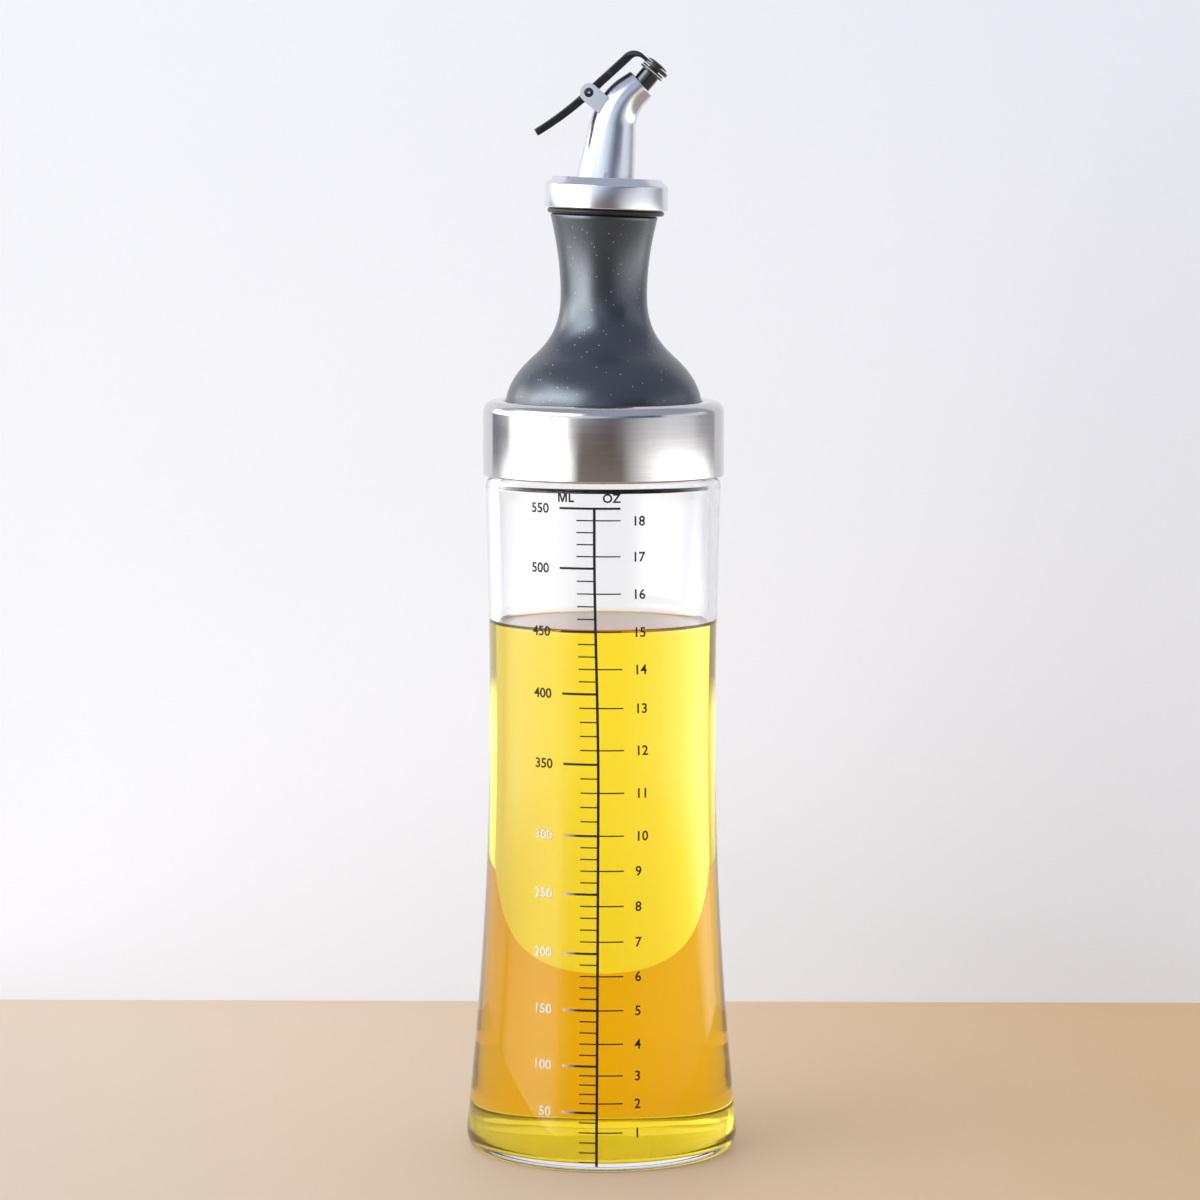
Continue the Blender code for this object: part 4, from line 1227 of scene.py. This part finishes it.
def seen_through_oil(finish):
    """Let the floor look warmer through the glass, as the light on it there has passed the oil."""
    tree = finish.node_tree
    shader = tree.nodes["Principled BSDF"]
    rays = add(tree, "ShaderNodeLightPath")
    plain = shader.inputs["Base Color"].links[0].from_socket
    inputs = {0: rays.outputs["Is Transmission Ray"], 6: plain, 7: rgba(FLOOR_THROUGH_OIL)}
    warm = add(tree, "ShaderNodeMix", inputs, data_type="RGBA", blend_type="MULTIPLY").outputs[2]
    feed(tree, shader, Base_Color=warm, Emission_Color=warm)
    shader.inputs["Emission Strength"].default_value = FLOOR_GLOW


def glow_at_side(finish):
    """Let the wall shine more towards its left end, where only the glass bends the view to it."""
    tree = finish.node_tree
    rays = add(tree, "ShaderNodeLightPath")
    glow = remap(tree, place_along(tree, "X"), 0.0, SIDE_GLOW, *SIDE_GLOW_X)
    bent = math_value(tree, "MULTIPLY", glow, rays.outputs["Is Transmission Ray"])
    feed(tree, tree.nodes["Principled BSDF"], Emission_Strength=math_value(tree, "ADD", bent, WALL_GLOW))


def see_through_back(finish):
    """Let a wall's back be looked through, so that views from behind show the bottle."""
    tree = finish.node_tree
    shader, output = tree.nodes["Principled BSDF"], tree.nodes["Material Output"]
    side = add(tree, "ShaderNodeNewGeometry")
    clear = add(tree, "ShaderNodeBsdfTransparent")
    inputs = {0: side.outputs["Backfacing"], 1: shader.outputs[0], 2: clear.outputs[0]}
    tree.links.new(add(tree, "ShaderNodeMixShader", inputs).outputs[0], output.inputs["Surface"])


def light_ring(tree, turn, ring):
    """Colour by the angle round the bottle, blended between a ring's stops."""
    ramp = add(tree, "ShaderNodeValToRGB", {"Fac": turn})
    stops = ramp.color_ramp.elements
    for stop, position in zip(stops, (0.0, 1.0)):
        stop.position, stop.color = position, rgba(ring[0][1])
    for angle, colour in ring[1:]:
        stops.new(angle / 360 + 0.5).color = rgba(colour)
    return ramp.outputs["Color"]


def make_light():
    """Soft light from all round: a bright window on the left, a paler side on the right."""
    world = bpy.data.worlds.new("soft_room")
    world.use_nodes = True
    tree = world.node_tree
    background = tree.nodes["Background"]
    source = add(tree, "ShaderNodeTexCoord")
    way = add(tree, "ShaderNodeSeparateXYZ", {"Vector": source.outputs["Generated"]})
    front = math_value(tree, "MULTIPLY", way.outputs["Y"], -1.0)
    angle = math_value(tree, "ARCTAN2", way.outputs["X"], front)
    turn = remap(tree, angle, 0.0, 1.0, -math.pi, math.pi)
    rise = math_value(tree, "ARCSINE", way.outputs["Z"])
    room = light_ring(tree, turn, GLASS_RING)
    rings = (
        (LOW_RING, GLASS_CHANGE),
        (DISC_RING, DISC_CHANGE),
        (HIGH_RING, HIGH_CHANGE),
        (WINDOW_RING, WINDOW_CHANGE),
    )
    for ring, change in rings:
        room = blend_colours(tree, remap(tree, rise, 0.0, 1.0, *change), room, light_ring(tree, turn, ring))
    room = blend_colours(tree, remap(tree, rise, 1.0, 0.0, *FLOOR_CHANGE[::-1]), room, FLOOR_LIGHT)
    room = blend_colours(tree, remap(tree, rise, 0.0, 1.0, *CEILING_CHANGE), room, CEILING_LIGHT)
    rays = add(tree, "ShaderNodeLightPath")
    seen = blend_colours(tree, rays.outputs["Is Camera Ray"], room, PLAIN_LIGHT)
    tree.links.new(seen, background.inputs["Color"])
    background.inputs["Strength"].default_value = LIGHT_STRENGTH
    bpy.context.scene.world = world


def make_softbox(lit_piece):
    """Softbox close by on the left that lights one piece alone, for its tall highlight."""
    lamp = bpy.data.lights.new("side_softbox", "AREA")
    lamp.shape = "RECTANGLE"
    lamp.size = SOFTBOX_WIDTH
    lamp.size_y = SOFTBOX_HEIGHT
    lamp.energy = SOFTBOX_POWER
    softbox = link("side_softbox", lamp)
    softbox.visible_camera = False
    softbox.visible_transmission = False
    lit = bpy.data.collections.new("lit_by_softbox")
    lit.objects.link(lit_piece)
    softbox.light_linking.receiver_collection = lit
    place = Matrix.Rotation(SOFTBOX_TURN, 4, "Z") @ Matrix.Translation((0, -SOFTBOX_DISTANCE, SOFTBOX_MIDDLE))
    softbox.matrix_world = place @ ON_EDGE


def make_room():
    """Plain pale floor, one-sided plain wall behind, the room's light and the neck's softbox."""
    # Painted light: each first colour is the lit left, each second the shaded right
    floor = plain_material("pale_tan_floor", (0.60, 0.485, 0.375), (0.53, 0.365, 0.205), roughness=0.6)
    wall = plain_material("pale_wall", (0.83, 0.835, 0.85), (0.72, 0.725, 0.76), roughness=0.8)
    seen_through_oil(floor)
    glow_at_side(wall)
    see_through_back(wall)
    angles = [math.tau * i / 96 for i in range(96)]
    rim = [(FLOOR_REACH * math.cos(a), FLOOR_REACH * math.sin(a), -FLOOR_DROP) for a in angles]
    stage_sheet("floor", rim, floor)
    corners = ((-1, -FLOOR_DROP), (1, -FLOOR_DROP), (1, WALL_HEIGHT), (-1, WALL_HEIGHT))
    stage_sheet("wall", [(side * WALL_HALF_WIDTH, WALL_DISTANCE, z) for side, z in corners], wall)
    make_light()
    make_softbox(bpy.data.objects["neck_bell"])


def make_camera():
    """Camera at the photograph's angle."""
    lens = bpy.data.cameras.new("camera")
    lens.lens = FOCAL_LENGTH
    lens.sensor_width = SENSOR
    camera = link("camera", lens)
    pitch = Matrix.Rotation(math.pi / 2 - CAMERA_PITCH, 4, "X")
    camera.matrix_world = Matrix.Translation(CAMERA_PLACE) @ pitch @ Matrix.Rotation(CAMERA_ROLL, 4, "Z")
    bpy.context.scene.camera = camera


make_camera()
make_object()
make_room()
bpy.context.scene.view_settings.view_transform = "Standard"
